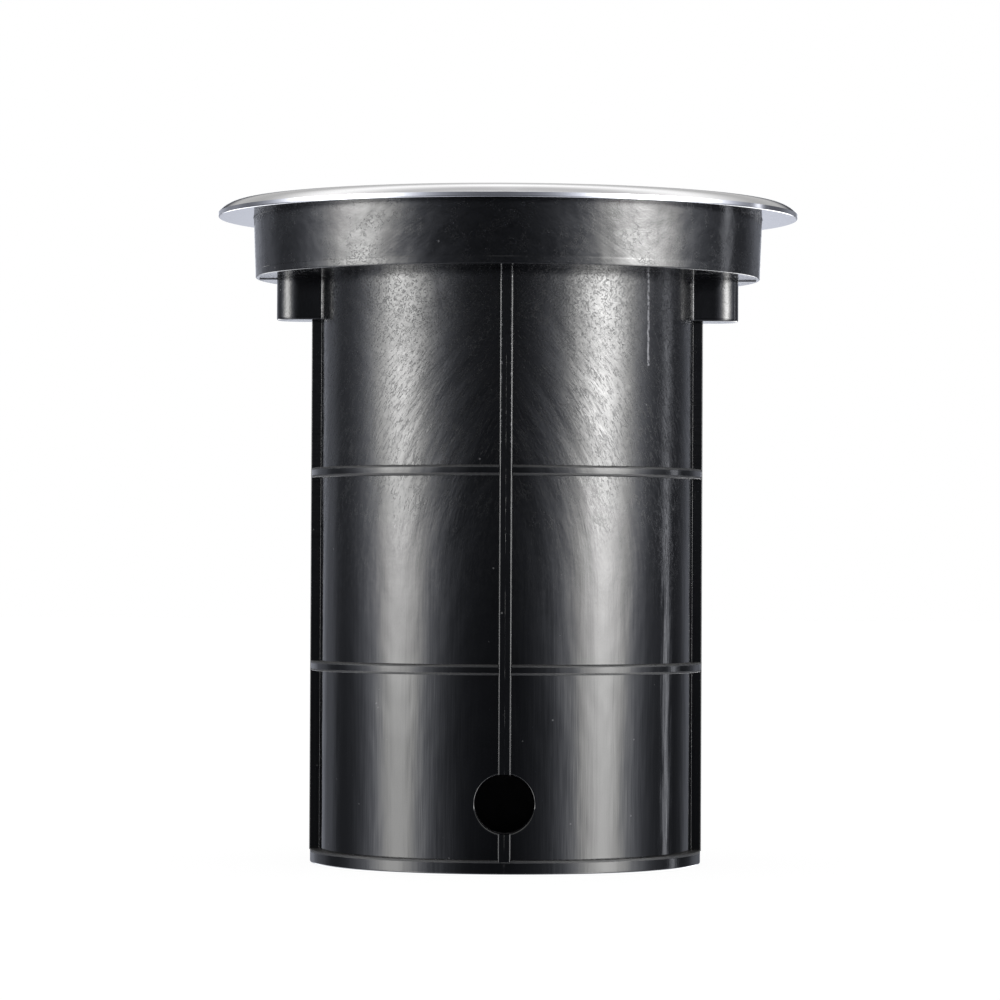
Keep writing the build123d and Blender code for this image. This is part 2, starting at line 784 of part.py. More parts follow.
pieces = [
    mounting_sleeve,
    thread_inserts,
    trim_ring,
    trim_screws,
    cover_glass,
    glass_gasket,
    lamp_housing,
    gimbal_frame,
    frame_screws,
    pivot_pins,
    friction_washers,
    lamp_ring,
    lamp_clip,
    lamp_heatsink,
    lamp_lens,
    led_board,
    led_chips,
    driver_board,
    lamp_base,
    lamp_pins,
    holder_contacts,
    lamp_holder,
    terminal_block,
    terminal_clamps,
    terminal_screws,
    terminal_fixing_screw,
    gland_body,
    gland_washer,
    gland_locknut,
    gland_seal,
    gland_nut,
]

os.makedirs("parts", exist_ok=True)
for piece in pieces:
    export_step(piece(), f"parts/{piece.__name__}.step")

print("height", round(top_level, 2), "pot", round(2 * pot_radius, 2), "collar", round(2 * collar_radius, 2))
print("screw circle", round(2 * screw_offset, 2), "pivot", round(pivot_level, 3))
print("housing from", round(housing_level, 2), "gland from", round(gland_nut_level, 2))
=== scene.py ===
"""In ground well light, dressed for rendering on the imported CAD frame, in metres with +Z up.

Every sub-assembly is a class with its sizes in millimetres. It works its surfaces out with numpy,
gives them a procedural finish and lets them ride on their CAD body.
"""

import logging
from abc import ABC, abstractmethod
from dataclasses import dataclass, field
from enum import Enum
from functools import partialmethod
from math import atan, cos, pi, radians, sin, sqrt

import bmesh
import bpy
import numpy as np
from mathutils import Euler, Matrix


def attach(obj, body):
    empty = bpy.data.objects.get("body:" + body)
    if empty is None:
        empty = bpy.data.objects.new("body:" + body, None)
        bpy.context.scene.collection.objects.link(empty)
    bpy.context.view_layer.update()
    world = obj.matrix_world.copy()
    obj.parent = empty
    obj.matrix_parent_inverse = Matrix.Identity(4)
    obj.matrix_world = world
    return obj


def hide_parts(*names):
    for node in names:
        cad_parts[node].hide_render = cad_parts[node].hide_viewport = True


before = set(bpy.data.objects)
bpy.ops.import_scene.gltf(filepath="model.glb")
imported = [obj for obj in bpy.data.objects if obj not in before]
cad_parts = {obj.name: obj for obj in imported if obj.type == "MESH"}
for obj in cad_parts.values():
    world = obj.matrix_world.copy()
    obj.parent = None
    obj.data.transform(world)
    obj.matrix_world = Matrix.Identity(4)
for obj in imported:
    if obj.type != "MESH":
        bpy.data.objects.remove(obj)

Array = np.ndarray
Socket = bpy.types.NodeSocket
Value = float | Socket
Colour = tuple[float, float, float]

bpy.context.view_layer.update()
MM = 0.001
COLUMNS = 300  # steps of a full turn; 1.2 degrees each, so a pierced cell spans whole steps
STEP = 2 * pi / COLUMNS
TURNS = np.linspace(0, 2 * pi, COLUMNS + 1)  # angles of a full turn, first and last in one place
MIDDLES = (TURNS[1:] + TURNS[:-1]) / 2  # angles half way between the columns
FRONT = -pi / 2  # direction of the cable hole, seen from above
WELD = 1e-5  # mm, step of the grid on which points that share a place are found
MERGE = 1e-7  # m, distance at which points of a CAD mesh become one
SHARP = 28.0  # degrees, edges of the CAD meshes that stay sharp
WHITE = (1.0, 1.0, 1.0, 1.0)

log = logging.getLogger("well light")


class Body(Enum):
    """CAD bodies that the pieces ride on."""

    SLEEVE = "sleeve"
    LAMP_UNIT = "lamp_unit"
    COVER = "cover"
    LAMP_CARRIER = "lamp_carrier"


class Brush(Enum):
    """Direction of the fine lines on a metal surface."""

    NONE = 0
    TURNED = 1
    LENGTHWISE = 2


# --- Surfaces ----------------------------------------------------------------------------------
def rounded_outline(corners: Array, radii: Array, steps: int = 6, support: float = 0.12) -> Array:
    """Open outline whose inner corners are rounded.

    At a corner P with unit vectors a and b towards its neighbours and the angle g between them,
    the arc's centre is P + (a + b) / |a + b| * R / sin(g / 2), its ends lie R / tan(g / 2) along
    a and b, and its points blend the two end directions evenly. A support point before and after
    each arc keeps smooth shading out of the straight runs.

    Args:
        corners: Corner points, one row each.
        radii: Radius at each inner corner; 0 leaves it sharp.
        steps: Steps of an arc.
        support: Distance of the support points from an arc's ends.

    Returns:
        The points of the outline, one row each.
    """
    corners = np.asarray(corners, float)
    radii = np.asarray(radii, float)[:, None]
    inner = corners[1:-1]
    back, ahead = corners[:-2] - inner, corners[2:] - inner
    back_length = np.linalg.norm(back, axis=1, keepdims=True)
    ahead_length = np.linalg.norm(ahead, axis=1, keepdims=True)
    back, ahead = back / back_length, ahead / ahead_length
    angle = np.arccos(np.clip((back * ahead).sum(1, keepdims=True), -1, 1))
    reach = radii / np.tan(angle / 2)
    middle = back + ahead
    middle /= np.maximum(np.linalg.norm(middle, axis=1, keepdims=True), 1e-12)
    centre = inner + middle * radii / np.sin(angle / 2)
    start, end = inner + back * reach, inner + ahead * reach
    turn = np.maximum(pi - angle, 1e-9)[:, None]
    share = np.linspace(0, 1, steps + 1)[None, :, None]
    safe = np.maximum(radii, 1e-12)
    arc = np.sin((1 - share) * turn) * ((start - centre) / safe)[:, None]
    arc = arc + np.sin(share * turn) * ((end - centre) / safe)[:, None]
    arc = centre[:, None] + arc / np.sin(turn) * radii[:, None]
    arc = np.where(radii[:, None] > 0, arc, inner[:, None])
    taken = np.vstack([reach, [[0.0]]]) + np.vstack([[[0.0]], reach])
    room = np.linalg.norm(np.diff(corners, axis=0), axis=1, keepdims=True) - taken
    step = np.minimum(support, 0.3 * np.maximum(room, 0))
    points = np.concatenate(
        [(start + back * step[:-1])[:, None], arc, (end + ahead * step[1:])[:, None]], axis=1
    )
    points = np.vstack([corners[:1], points.reshape(-1, 2), corners[-1:]])
    moved = np.linalg.norm(np.diff(points, axis=0), axis=1) > WELD
    return points[np.concatenate([[True], moved])]


def unit(angles: Array | float) -> Array:
    """Unit vectors of a plane at angles."""
    return np.stack([np.cos(angles), np.sin(angles)], -1)


def turned(outline: Array) -> Array:
    """Surface of revolution about Z: (r, z) becomes (r cos t, r sin t, z) for a full turn t."""
    radius, height = outline[:, :1], outline[:, 1:2]
    return np.stack([radius * np.cos(TURNS), radius * np.sin(TURNS), height + 0 * TURNS], axis=-1)


def beside_screws(reach: float) -> Array:
    """Which columns lie farther than an angle from the X axis, where the trim's screws are."""
    return np.abs((MIDDLES + pi / 2) % pi - pi / 2) > reach


def blended(inner: Array, outer: Array, rows: int, crowd: float = 1.0) -> Array:
    """Ruled surface between two lines of points: (1 - s) inner + s outer, s = t ** crowd."""
    share = (np.linspace(0, 1, rows + 1) ** crowd)[:, None, None]
    return (1 - share) * inner + share * outer


def cell_loop(low: float, high: float, start: float, end: float, rows: int) -> Array:
    """Closed loop round a cell of a polar grid, as (radius or height, angle) pairs.

    The four sides are sampled evenly: the angle in steps of the full turn, the other way in rows.
    """
    columns = round((end - start) / STEP)
    across = np.linspace(start, end, columns + 1)
    along = np.linspace(low, high, rows + 1)
    sides = [
        np.stack([np.full(columns, low), across[:-1]], -1),
        np.stack([along[:-1], np.full(rows, end)], -1),
        np.stack([np.full(columns, high), across[::-1][:-1]], -1),
        np.stack([along[::-1], np.full(rows + 1, start)], -1),
    ]
    return np.vstack(sides)


def at_height(plan: Array, height: Array | float) -> Array:
    """Points of a plan lifted to a height, the same for all or one for each."""
    height = np.broadcast_to(height, plan.shape[:-1])
    return np.concatenate([plan, height[..., None]], -1)


def pierced_cell(limits: tuple, side: float, reach: float, rows: int, offset: float) -> tuple:
    """Cell of a flat polar grid that a round hole is to pierce.

    Args:
        limits: Inner and outer radius of the cell.
        side: Direction of its middle.
        reach: Half its angle.
        rows: Rows along the radius.
        offset: Distance of the hole's centre from the axis.

    Returns:
        The cell's outside, the hole's centre, and the unit vector from it to each point outside.
    """
    loop = cell_loop(*limits, side - reach, side + reach, rows)
    outside = loop[:, :1] * unit(loop[:, 1])
    centre = offset * unit(side)
    way = outside - centre
    return outside, centre, way / np.linalg.norm(way, axis=1, keepdims=True)


class Skin:
    """Mesh under way: grids of points, welded into one closed mesh at the end."""

    def __init__(self) -> None:
        """Starts with no grids."""
        self.points: list[Array] = []
        self.faces: list[Array] = []
        self.count = 0

    def add(self, grid: Array, flip: bool = False, keep: Array | None = None) -> None:
        """Adds a grid of points.

        A face's corners run first along the columns and then along the rows, so it points to
        columns x rows.

        Args:
            grid: Points, rows x columns x 3, in millimetres.
            flip: Turns the faces round.
            keep: Which cells become faces, rows - 1 x columns - 1.
        """
        rows, columns = grid.shape[:2]
        index = np.arange(rows * columns).reshape(rows, columns) + self.count
        faces = np.stack([index[:-1, :-1], index[:-1, 1:], index[1:, 1:], index[1:, :-1]], -1)
        faces = faces[keep] if keep is not None else faces.reshape(-1, 4)
        self.points.append(grid.reshape(-1, 3))
        self.faces.append(faces[:, ::-1] if flip else faces)
        self.count += rows * columns

    def turn(self, outline: Array, flip: bool = False, keep: Array | None = None) -> None:
        """Adds the surface of revolution of an outline; flip and keep as for a grid."""
        self.add(turned(np.asarray(outline)), flip, keep)

    def mesh(self, name: str, sharp: float = 40.0) -> bpy.types.Mesh:
        """The welded mesh in metres, smooth but for edges sharper than an angle in degrees.

        Points that share a place become one, and a face that loses a corner by that becomes a
        triangle, so seams and poles are closed.
        """
        points = np.vstack(self.points)
        faces = np.vstack(self.faces)
        spots = np.round(points / WELD)
        _, first, place = np.unique(spots, axis=0, return_index=True, return_inverse=True)
        faces = place.reshape(-1)[faces]
        keep = faces != np.roll(faces, 1, axis=1)
        whole = keep.sum(1) > 2
        faces, keep = faces[whole], keep[whole]
        sizes = keep.sum(1)
        corners = faces[keep]
        used, corners = np.unique(corners, return_inverse=True)
        mesh = bpy.data.meshes.new(name)
        mesh.vertices.add(len(used))
        mesh.vertices.foreach_set("co", (points[first][used] * MM).ravel())
        mesh.loops.add(len(corners))
        mesh.loops.foreach_set("vertex_index", corners.reshape(-1))
        mesh.polygons.add(len(sizes))
        mesh.polygons.foreach_set("loop_start", np.cumsum(sizes) - sizes)
        mesh.update(calc_edges=True)
        mesh.validate()
        mesh.shade_smooth()
        mesh.set_sharp_from_angle(angle=radians(sharp))
        return mesh


# --- Node boards -------------------------------------------------------------------------------
@dataclass(frozen=True)
class Grain:
    """A noise pattern: its scale per metre, its octaves and the weight of the fine ones."""

    scale: float
    detail: float = 2.0
    rough: float = 0.5


class Board:
    """Short calls to add and join the shader nodes of a material or of the world."""

    def __init__(self, owner: bpy.types.Material | bpy.types.World) -> None:
        """Empties the owner's node tree."""
        owner.use_nodes = True
        self.tree = owner.node_tree
        self.tree.nodes.clear()

    def add(self, kind: str, inputs: dict | None = None, **settings: object) -> bpy.types.Node:
        """Adds a node.

        Args:
            kind: Node type without its ShaderNode prefix.
            inputs: Value or socket for each named or numbered input.
            settings: Values of the node's own settings.

        Returns:
            The new node.
        """
        node = self.tree.nodes.new("ShaderNode" + kind)
        for name, value in settings.items():
            setattr(node, name, value)
        for name, value in (inputs or {}).items():
            if isinstance(value, Socket):
                self.tree.links.new(value, node.inputs[name])
            else:
                node.inputs[name].default_value = value
        return node

    def math(self, operation: str, *values: Value) -> Socket:
        """Result of a math node on one to three values."""
        return self.add("Math", dict(enumerate(values)), operation=operation).outputs[0]

    times = partialmethod(math, "MULTIPLY")
    plus = partialmethod(math, "ADD")
    minus = partialmethod(math, "SUBTRACT")
    scaled = partialmethod(math, "MULTIPLY_ADD")  # the first by the second, plus the third
    larger = partialmethod(math, "MAXIMUM")
    unsigned = partialmethod(math, "ABSOLUTE")
    over = partialmethod(math, "GREATER_THAN")  # 1 where the first is over the second, else 0
    under = partialmethod(math, "LESS_THAN")

    def vector(self, x: Value, y: Value, z: Value) -> Socket:
        """Vector of three values."""
        return self.add("CombineXYZ", {0: x, 1: y, 2: z}).outputs[0]

    def split(self, vector: Socket) -> tuple[Socket, Socket, Socket]:
        """X, Y and Z of a vector."""
        return tuple(self.add("SeparateXYZ", {0: vector}).outputs)

    def axis_distance(self, x: Socket, y: Socket) -> Socket:
        """Distance from the Z axis."""
        return self.math("SQRT", self.plus(self.times(x, x), self.times(y, y)))

    def spread(
        self, value: Socket, low: float, high: float, start: float = 0.0, end: float = 1.0
    ) -> Socket:
        """Value eased from the range low to high onto the range start to end."""
        limits = {"From Min": low, "From Max": high, "To Min": start, "To Max": end}
        node = self.add("MapRange", {"Value": value, **limits}, interpolation_type="SMOOTHSTEP")
        return node.outputs[0]

    def noise(self, place: Socket, grain: Grain) -> Socket:
        """Noise value at a place."""
        inputs = {"Scale": grain.scale, "Detail": grain.detail, "Roughness": grain.rough}
        return self.add("TexNoise", {"Vector": place, **inputs}).outputs["Fac"]

    def mix(self, share: Socket, first: Colour | Socket, second: Colour | Socket) -> Socket:
        """Colour between two, by the second one's share."""
        node = self.add("Mix", {"Factor": share}, data_type="RGBA")
        sides = [socket for socket in node.inputs if socket.type == "RGBA"][-2:]
        for socket, value in zip(sides, (first, second)):
            if isinstance(value, Socket):
                self.tree.links.new(value, socket)
            else:
                socket.default_value = (*value, 1.0)
        return next(socket for socket in node.outputs if socket.type == "RGBA")

    def place(self) -> Socket:
        """Object coordinates, in metres."""
        return self.add("TexCoord").outputs["Object"]

    def bump(
        self, height: Socket, depth: float, strength: float = 1.0, under: Socket | None = None
    ) -> Socket:
        """Normal bent by a height whose range of 1 is a depth in metres."""
        inputs = {"Strength": strength, "Distance": depth, "Height": height}
        if under is not None:
            inputs["Normal"] = under
        return self.add("Bump", inputs).outputs[0]

    def principled(self, inputs: dict) -> None:
        """Joins a principled shader with these inputs to the material's output."""
        self.surface(self.add("BsdfPrincipled", inputs).outputs[0])

    def surface(self, shader: Socket) -> None:
        """Joins the shader to the material's output."""
        self.add("OutputMaterial", {"Surface": shader})


class Finish(ABC):
    """A finish that makes one material and remembers it."""

    name: str
    made: dict[str, bpy.types.Material] = {}

    def material(self) -> bpy.types.Material:
        """The material, made at the first call."""
        if self.name not in Finish.made:
            material = bpy.data.materials.new(self.name)
            self.wire(Board(material))
            Finish.made[self.name] = material
        return Finish.made[self.name]

    @abstractmethod
    def wire(self, board: Board) -> None:
        """Builds the shader."""


@dataclass(frozen=True)
class Spot:
    """What the moulding's finish knows of a point: its place, and its share in each zone."""

    place: Socket
    x: Socket
    y: Socket
    z: Socket
    turn: Socket  # angle from the front to the right
    radius: Socket
    flow: Socket  # place along the melt's way
    drawn: Socket  # the same, drawn out to hairs
    inside: Socket
    on_collar: Socket
    upper: Socket  # leathery zone
    marked: Socket  # zone of the flow marks and all above it
    middle: Socket  # zone of the flow marks, thinned out towards the leather


@dataclass(frozen=True)
class MouldedSleeve(Finish):
    """Glossy black plastic with the flow marks, scuffs and dust of an injection moulding.

    The marks follow the melt. It entered at the top, so they fan out on both sides of the front
    rib and bend down until they hang straight. Near the top they are short and leathery.

    Lengths are in metres. A field that ends in ease holds the limits of a smooth step, and one
    that ends in change holds what the zone adds and the value elsewhere.
    """

    name: str = "sleeve_plastic"
    index: float = 1.5
    dark: Colour = (0.0010, 0.0012, 0.0016)
    haze: Colour = (0.0036, 0.0040, 0.0052)
    dust: Colour = (0.30, 0.30, 0.31)
    scuffed: Colour = (0.32, 0.32, 0.34)
    inside_colour: Colour = (0.020, 0.020, 0.022)

    wall: float = 0.0353  # radius that turns an angle into a length
    fan_start: float = 0.052  # height above which the marks leave the vertical
    fan_span: float = 0.105
    mark_stretch: float = 0.30  # width of a mark over its height
    hair_stretch: float = 0.035
    side_shift: float = 0.37  # keeps the marks on the left unlike those on the right
    marks_low: float = 0.028
    leather_low: float = 0.080
    leather_high: float = 0.108
    leather_share: float = 0.75  # share of the flow marks that the leather takes over
    collar_low: float = 0.1106
    inner_radius: float = 0.0340  # radius within which the moulding is matt
    proud_radius: float = 0.0360  # radius beyond which rings, ribs and bosses stand

    patches: Grain = Grain(95.0, 3.0, 0.60)
    patch_ease: tuple = (0.36, 0.62, 0.35, 1.0)
    leather: Grain = Grain(2300.0, 3.0, 0.75)
    leather_change: tuple = (-0.14, 0.32)
    streaks: Grain = Grain(1700.0, 4.0, 0.68)
    streak_share: float = 0.30
    hairs: Grain = Grain(1700.0, 3.0, 0.60)
    hair_change: tuple = (-0.10, 0.16)
    relief_depth: float = 0.00010
    waves: Grain = Grain(150.0)
    wave_depth: float = 0.00014

    curls: Grain = Grain(1750.0, 2.0, 0.65)
    nicks: Grain = Grain(1950.0, 2.0, 0.65)
    curl_ease: tuple = (0.085, 0.035)
    breaks: float = 0.8  # scale of the noise that breaks the curls up, over theirs
    break_ease: tuple = (0.38, 0.50)
    clusters: Grain = Grain(230.0, 3.0, 0.65)
    cluster_ease: tuple = (0.40, 0.58, 0.15, 1.0)
    spread_change: tuple = (-0.45, 0.80)
    dent_change: tuple = (-0.25, 1.0)
    dent_rough: float = 0.28
    bare_rough: float = 0.065
    inside_rough: float = 0.35
    proud_rough: float = 0.06

    corner_heights: tuple = (0.0023, 0.03645, 0.03795, 0.07295, 0.07445)
    corner_ease: tuple = (0.00030, 0.00018)
    corner_reach: float = 0.0371
    corner_rough: float = 0.42

    fleck_scale: float = 420.0
    fleck_ease: tuple = (0.10, 0.05)
    fleck_share: float = 0.3
    rarity: Grain = Grain(520.0, 0.0)
    rare_ease: tuple = (0.62, 0.70)
    cloud_ease: tuple = (0.45, 0.70)
    cloud_change: tuple = (0.6, 0.3)

    chips: Grain = Grain(1400.0, 3.0, 0.7)
    sway: Grain = Grain(420.0, 3.0, 0.6)
    sway_reach: float = 0.030
    scrape_turn: float = 0.836  # radians from the front to the right
    scrape_ease: tuple = (0.0095, 0.0050)
    scrape_low: float = 0.0934
    scrape_chips: tuple = (0.38, 0.52)
    rib_edge: float = 0.00095
    rub_ease: tuple = (0.00030, 0.00010)
    rib_face: float = 0.0364
    rub_heights: tuple = (0.073, 0.083)
    rub_chips: tuple = (0.50, 0.72, 0.0, 0.45)

    def wire(self, board: Board) -> None:
        """Joins colour, gloss and relief."""
        spot = self.spot(board)
        leather = board.noise(spot.place, self.leather)
        board.principled(
            {
                "Base Color": self.tone(board, spot, leather),
                "Roughness": self.gloss(board, spot),
                "Normal": self.relief(board, spot, leather),
                "IOR": self.index,
            }
        )

    def spot(self, board: Board) -> Spot:
        """Finds the zones and the melt's way at the shaded point.

        Across the melt's way a point lies at |turn| wall + (height above the fan's start) ** 2 /
        span, so its marks slant near the top and hang straight lower down.
        """
        place = board.place()
        x, y, z = board.split(place)
        turn = board.math("ARCTAN2", x, board.times(y, -1.0))
        around = board.times(board.unsigned(turn), self.wall)
        above = board.larger(board.minus(z, self.fan_start), 0.0)
        across = board.plus(around, board.math("DIVIDE", board.times(above, above), self.fan_span))
        out = board.times(board.math("SIGN", turn), self.side_shift)
        radius = board.axis_distance(x, y)
        upper = board.spread(z, self.leather_low, self.leather_high)
        marked = board.spread(z, self.marks_low, self.leather_low)
        return Spot(
            place=place,
            x=x,
            y=y,
            z=z,
            turn=turn,
            radius=radius,
            flow=board.vector(across, board.times(z, self.mark_stretch), out),
            drawn=board.vector(across, board.times(z, self.hair_stretch), out),
            inside=board.under(radius, self.inner_radius),
            on_collar=board.over(z, self.collar_low),
            upper=upper,
            marked=marked,
            middle=board.minus(marked, board.times(upper, self.leather_share)),
        )

    def relief(self, board: Board, spot: Spot, leather: Socket) -> Socket:
        """Normal bent by leather near the top, flow marks below it, hairs and slow waves."""
        patches = board.spread(board.noise(spot.place, self.patches), *self.patch_ease)
        share = board.times(patches, board.scaled(spot.on_collar, *self.leather_change))
        height = board.times(leather, board.times(spot.upper, share))
        share = board.times(spot.middle, board.times(patches, self.streak_share))
        height = board.scaled(board.noise(spot.flow, self.streaks), share, height)
        share = board.scaled(spot.marked, *self.hair_change)
        height = board.scaled(board.noise(spot.drawn, self.hairs), share, height)
        lower = board.times(board.noise(spot.flow, self.waves), board.minus(1.0, spot.upper))
        waves = board.scaled(board.noise(spot.place, self.waves), spot.upper, lower)
        return board.bump(waves, self.wave_depth, under=board.bump(height, self.relief_depth))

    def gloss(self, board: Board, spot: Spot) -> Socket:
        """Roughness: low, but for dents, corners, the proud parts and the matt inside."""
        lower = board.times(self.curled(board, spot.flow, self.nicks), spot.middle)
        dents = board.scaled(self.curled(board, spot.place, self.curls), spot.upper, lower)
        clusters = board.spread(board.noise(spot.place, self.clusters), *self.cluster_ease)
        clusters = board.larger(clusters, board.scaled(spot.on_collar, *self.spread_change))
        dents = board.times(dents, clusters)
        dents = board.times(dents, board.scaled(spot.on_collar, *self.dent_change))
        proud = board.over(board.minus(spot.radius, spot.on_collar), self.proud_radius)
        dents = board.times(dents, board.minus(1.0, proud))
        near = board.under(spot.radius, self.corner_reach)
        corner = board.times(self.corners(board, spot.z), near)
        rough = board.scaled(dents, self.dent_rough, self.bare_rough)
        rough = board.scaled(spot.inside, self.inside_rough, rough)
        rough = board.scaled(proud, self.proud_rough, rough)
        return board.scaled(corner, self.corner_rough, rough)

    def tone(self, board: Board, spot: Spot, leather: Socket) -> Socket:
        """Colour: near black with haze, flecks of dust, a paler inside and whitened scuffs."""
        cells = {"Vector": spot.place, "Scale": self.fleck_scale}
        fleck = board.add("TexVoronoi", cells, feature="F1").outputs["Distance"]
        rare = board.spread(board.noise(spot.place, self.rarity), *self.rare_ease)
        share = board.times(rare, self.fleck_share)
        flecks = board.times(board.spread(fleck, *self.fleck_ease), share)
        share = board.scaled(spot.upper, *self.cloud_change)
        cloud = board.times(board.spread(leather, *self.cloud_ease), share)
        colour = board.mix(flecks, board.mix(cloud, self.dark, self.haze), self.dust)
        colour = board.mix(spot.inside, colour, self.inside_colour)
        return board.mix(self.scuffs(board, spot), colour, self.scuffed)

    def corners(self, board: Board, z: Socket) -> Socket:
        """Share of grime in the corners where rings and base meet the wall: 1 at their heights."""
        nearest = board.unsigned(board.minus(z, self.corner_heights[0]))
        for height in self.corner_heights[1:]:
            nearest = board.math("MINIMUM", nearest, board.unsigned(board.minus(z, height)))
        return board.spread(nearest, *self.corner_ease)

    def curled(self, board: Board, place: Socket, grain: Grain) -> Socket:
        """Share of thin curled dents: lines where a noise passes its middle, broken by another."""
        off_middle = board.unsigned(board.minus(board.noise(place, grain), 0.5))
        line = board.spread(off_middle, *self.curl_ease)
        broken = board.noise(place, Grain(grain.scale * self.breaks, 1.0))
        return board.times(line, board.spread(broken, *self.break_ease))

    def scuffs(self, board: Board, spot: Spot) -> Socket:
        """Share of whitened plastic below the collar.

        A broken scrape runs down beside the right boss, and the front rib's edges are rubbed.
        """
        chips = board.noise(board.vector(spot.x, spot.y, spot.z), self.chips)
        sway = board.noise(board.vector(0.0, 0.0, spot.z), self.sway)
        middle = board.scaled(sway, self.sway_reach, self.scrape_turn - self.sway_reach / 2)
        off = board.unsigned(board.minus(spot.turn, middle))
        scrape = board.spread(off, *self.scrape_ease)
        scrape = board.times(scrape, board.over(spot.z, self.scrape_low))
        scrape = board.times(scrape, board.spread(chips, *self.scrape_chips))
        edge = board.unsigned(board.minus(board.unsigned(spot.x), self.rib_edge))
        rubbed = board.spread(edge, *self.rub_ease)
        rubbed = board.times(rubbed, board.under(spot.y, -self.rib_face))
        rubbed = board.times(rubbed, board.spread(spot.z, *self.rub_heights))
        rubbed = board.times(rubbed, board.spread(chips, *self.rub_chips))
        return board.times(board.larger(scrape, rubbed), board.under(spot.z, self.collar_low))


@dataclass(frozen=True)
class Metal(Finish):
    """Bare or plated metal with fine lines and cloudy gloss, brushed duller inside a radius."""

    name: str
    colour: Colour
    rough: float = 0.22
    brush: Brush = Brush.NONE
    satin: float = 0.0  # m, radius of the duller face; 0 for none
    satin_low: float = 0.124  # m, height above which the face is duller
    satin_edge: float = 0.0004
    satin_rough: float = 0.10
    satin_colour: Colour = (0.30, 0.30, 0.305)
    rings: Grain = Grain(900.0, 4.0, 0.7)
    lines: Grain = Grain(2200.0, 3.0, 0.6)
    line_depth: float = 0.000012
    line_strength: float = 0.5
    line_turn: float = 0.0012  # m of pattern along a radian of a turned line
    line_draw: float = 0.04  # m of pattern along a metre of a drawn line
    clouds: Grain = Grain(120.0, 3.0, 0.6)
    stain: float = 0.06
    variation: float = 0.06  # roughness that clouds and lines each add at most

    def wire(self, board: Board) -> None:
        """Lines follow the radius on a turned face and the height on a drawn one."""
        place = board.place()
        x, y, z = board.split(place)
        radius = board.axis_distance(x, y)
        lined = place
        if self.brush is Brush.TURNED:
            turn = board.math("ARCTAN2", y, x)
            lined = board.vector(radius, board.times(turn, self.line_turn), z)
        elif self.brush is Brush.LENGTHWISE:
            lined = board.vector(x, y, board.times(z, self.line_draw))
        lines = board.noise(lined, self.lines)
        clouds = board.noise(place, self.clouds)
        dim = tuple(channel * (1 - self.stain) for channel in self.colour)
        colour = board.mix(clouds, self.colour, dim)
        rough = board.scaled(clouds, self.variation, self.rough - self.variation / 2)
        rough = board.scaled(lines, self.variation, rough)
        if self.satin:
            dull = board.spread(radius, self.satin + self.satin_edge, self.satin - self.satin_edge)
            dull = board.times(dull, board.over(z, self.satin_low))
            ringed = board.times(dull, board.noise(lined, self.rings))
            colour = board.mix(ringed, colour, self.satin_colour)
            rough = board.scaled(dull, self.satin_rough, rough)
        normal = board.bump(lines, self.line_depth, self.line_strength)
        gloss = {"Metallic": 1.0, "Roughness": rough, "Normal": normal}
        board.principled({"Base Color": colour, **gloss})


@dataclass(frozen=True)
class Solid(Finish):
    """Opaque plastic, paint, rubber or ceramic with its own grain and slight colour drift."""

    name: str
    colour: Colour
    rough: float = 0.5
    grain_scale: float = 900.0
    grain_depth: float = 0.00003
    grain_detail: float = 4.0
    grain_rough: float = 0.6
    grain_strength: float = 0.6
    clouds: Grain = Grain(140.0, 3.0, 0.55)
    drift: float = 0.12
    lift: float = 0.002  # lets a black drift as well
    variation: float = 0.10  # roughness that the grain adds at most

    def wire(self, board: Board) -> None:
        """Grain bends the normal and the roughness; a wide noise drifts the colour."""
        place = board.place()
        grain = board.noise(place, Grain(self.grain_scale, self.grain_detail, self.grain_rough))
        clouds = board.noise(place, self.clouds)
        other = tuple(min(1.0, channel * (1 + self.drift) + self.lift) for channel in self.colour)
        board.principled(
            {
                "Base Color": board.mix(clouds, self.colour, other),
                "Roughness": board.scaled(grain, self.variation, self.rough - self.variation / 2),
                "Normal": board.bump(grain, self.grain_depth, self.grain_strength),
            }
        )


@dataclass(frozen=True)
class Clear(Finish):
    """Clear glass or acrylic with faint smears that dull its gloss."""

    name: str
    colour: Colour
    index: float = 1.5
    smear: float = 0.03
    smears: Grain = Grain(90.0, 4.0, 0.6)
    smear_ease: tuple = (0.45, 0.8)
    wipe: float = 0.3  # width of a smear over its length
    dim: float = 0.985

    def wire(self, board: Board) -> None:
        """Smears are a stretched noise in the roughness."""
        x, y, z = board.split(board.place())
        smears = board.noise(board.vector(x, board.times(y, self.wipe), z), self.smears)
        tone = board.mix(smears, self.colour, tuple(channel * self.dim for channel in self.colour))
        rough = board.spread(smears, *self.smear_ease, 0.0, self.smear)
        clear = {"IOR": self.index, "Transmission Weight": 1.0}
        board.principled({"Base Color": tone, "Roughness": rough, **clear})


SCREW_STEEL = Metal("screw_steel", (0.42, 0.42, 0.43), 0.24)
CONTACT_BRASS = Metal("contact_brass", (0.80, 0.62, 0.30), 0.24)


# --- Pieces ------------------------------------------------------------------------------------
def place_piece(mesh: bpy.types.Mesh, finish: Finish, body: Body, node: str) -> bpy.types.Object:
    """Makes the piece of a mesh, dresses it and lets it ride.

    Args:
        mesh: Mesh in metres, in the row frame; the piece takes its name.
        finish: Finish of the whole piece; the material slot of the record has the same name.
        body: CAD body that it rides on.
        node: CAD node that it stands for.

    Returns:
        The piece.
    """
    mesh.materials.clear()
    mesh.materials.append(finish.material())
    piece = bpy.data.objects.new(mesh.name, mesh)
    bpy.context.scene.collection.objects.link(piece)
    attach(piece, body.value)
    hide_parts(node)
    log.info("%s rides on %s with %d faces", piece.name, body.value, len(mesh.polygons))
    return piece


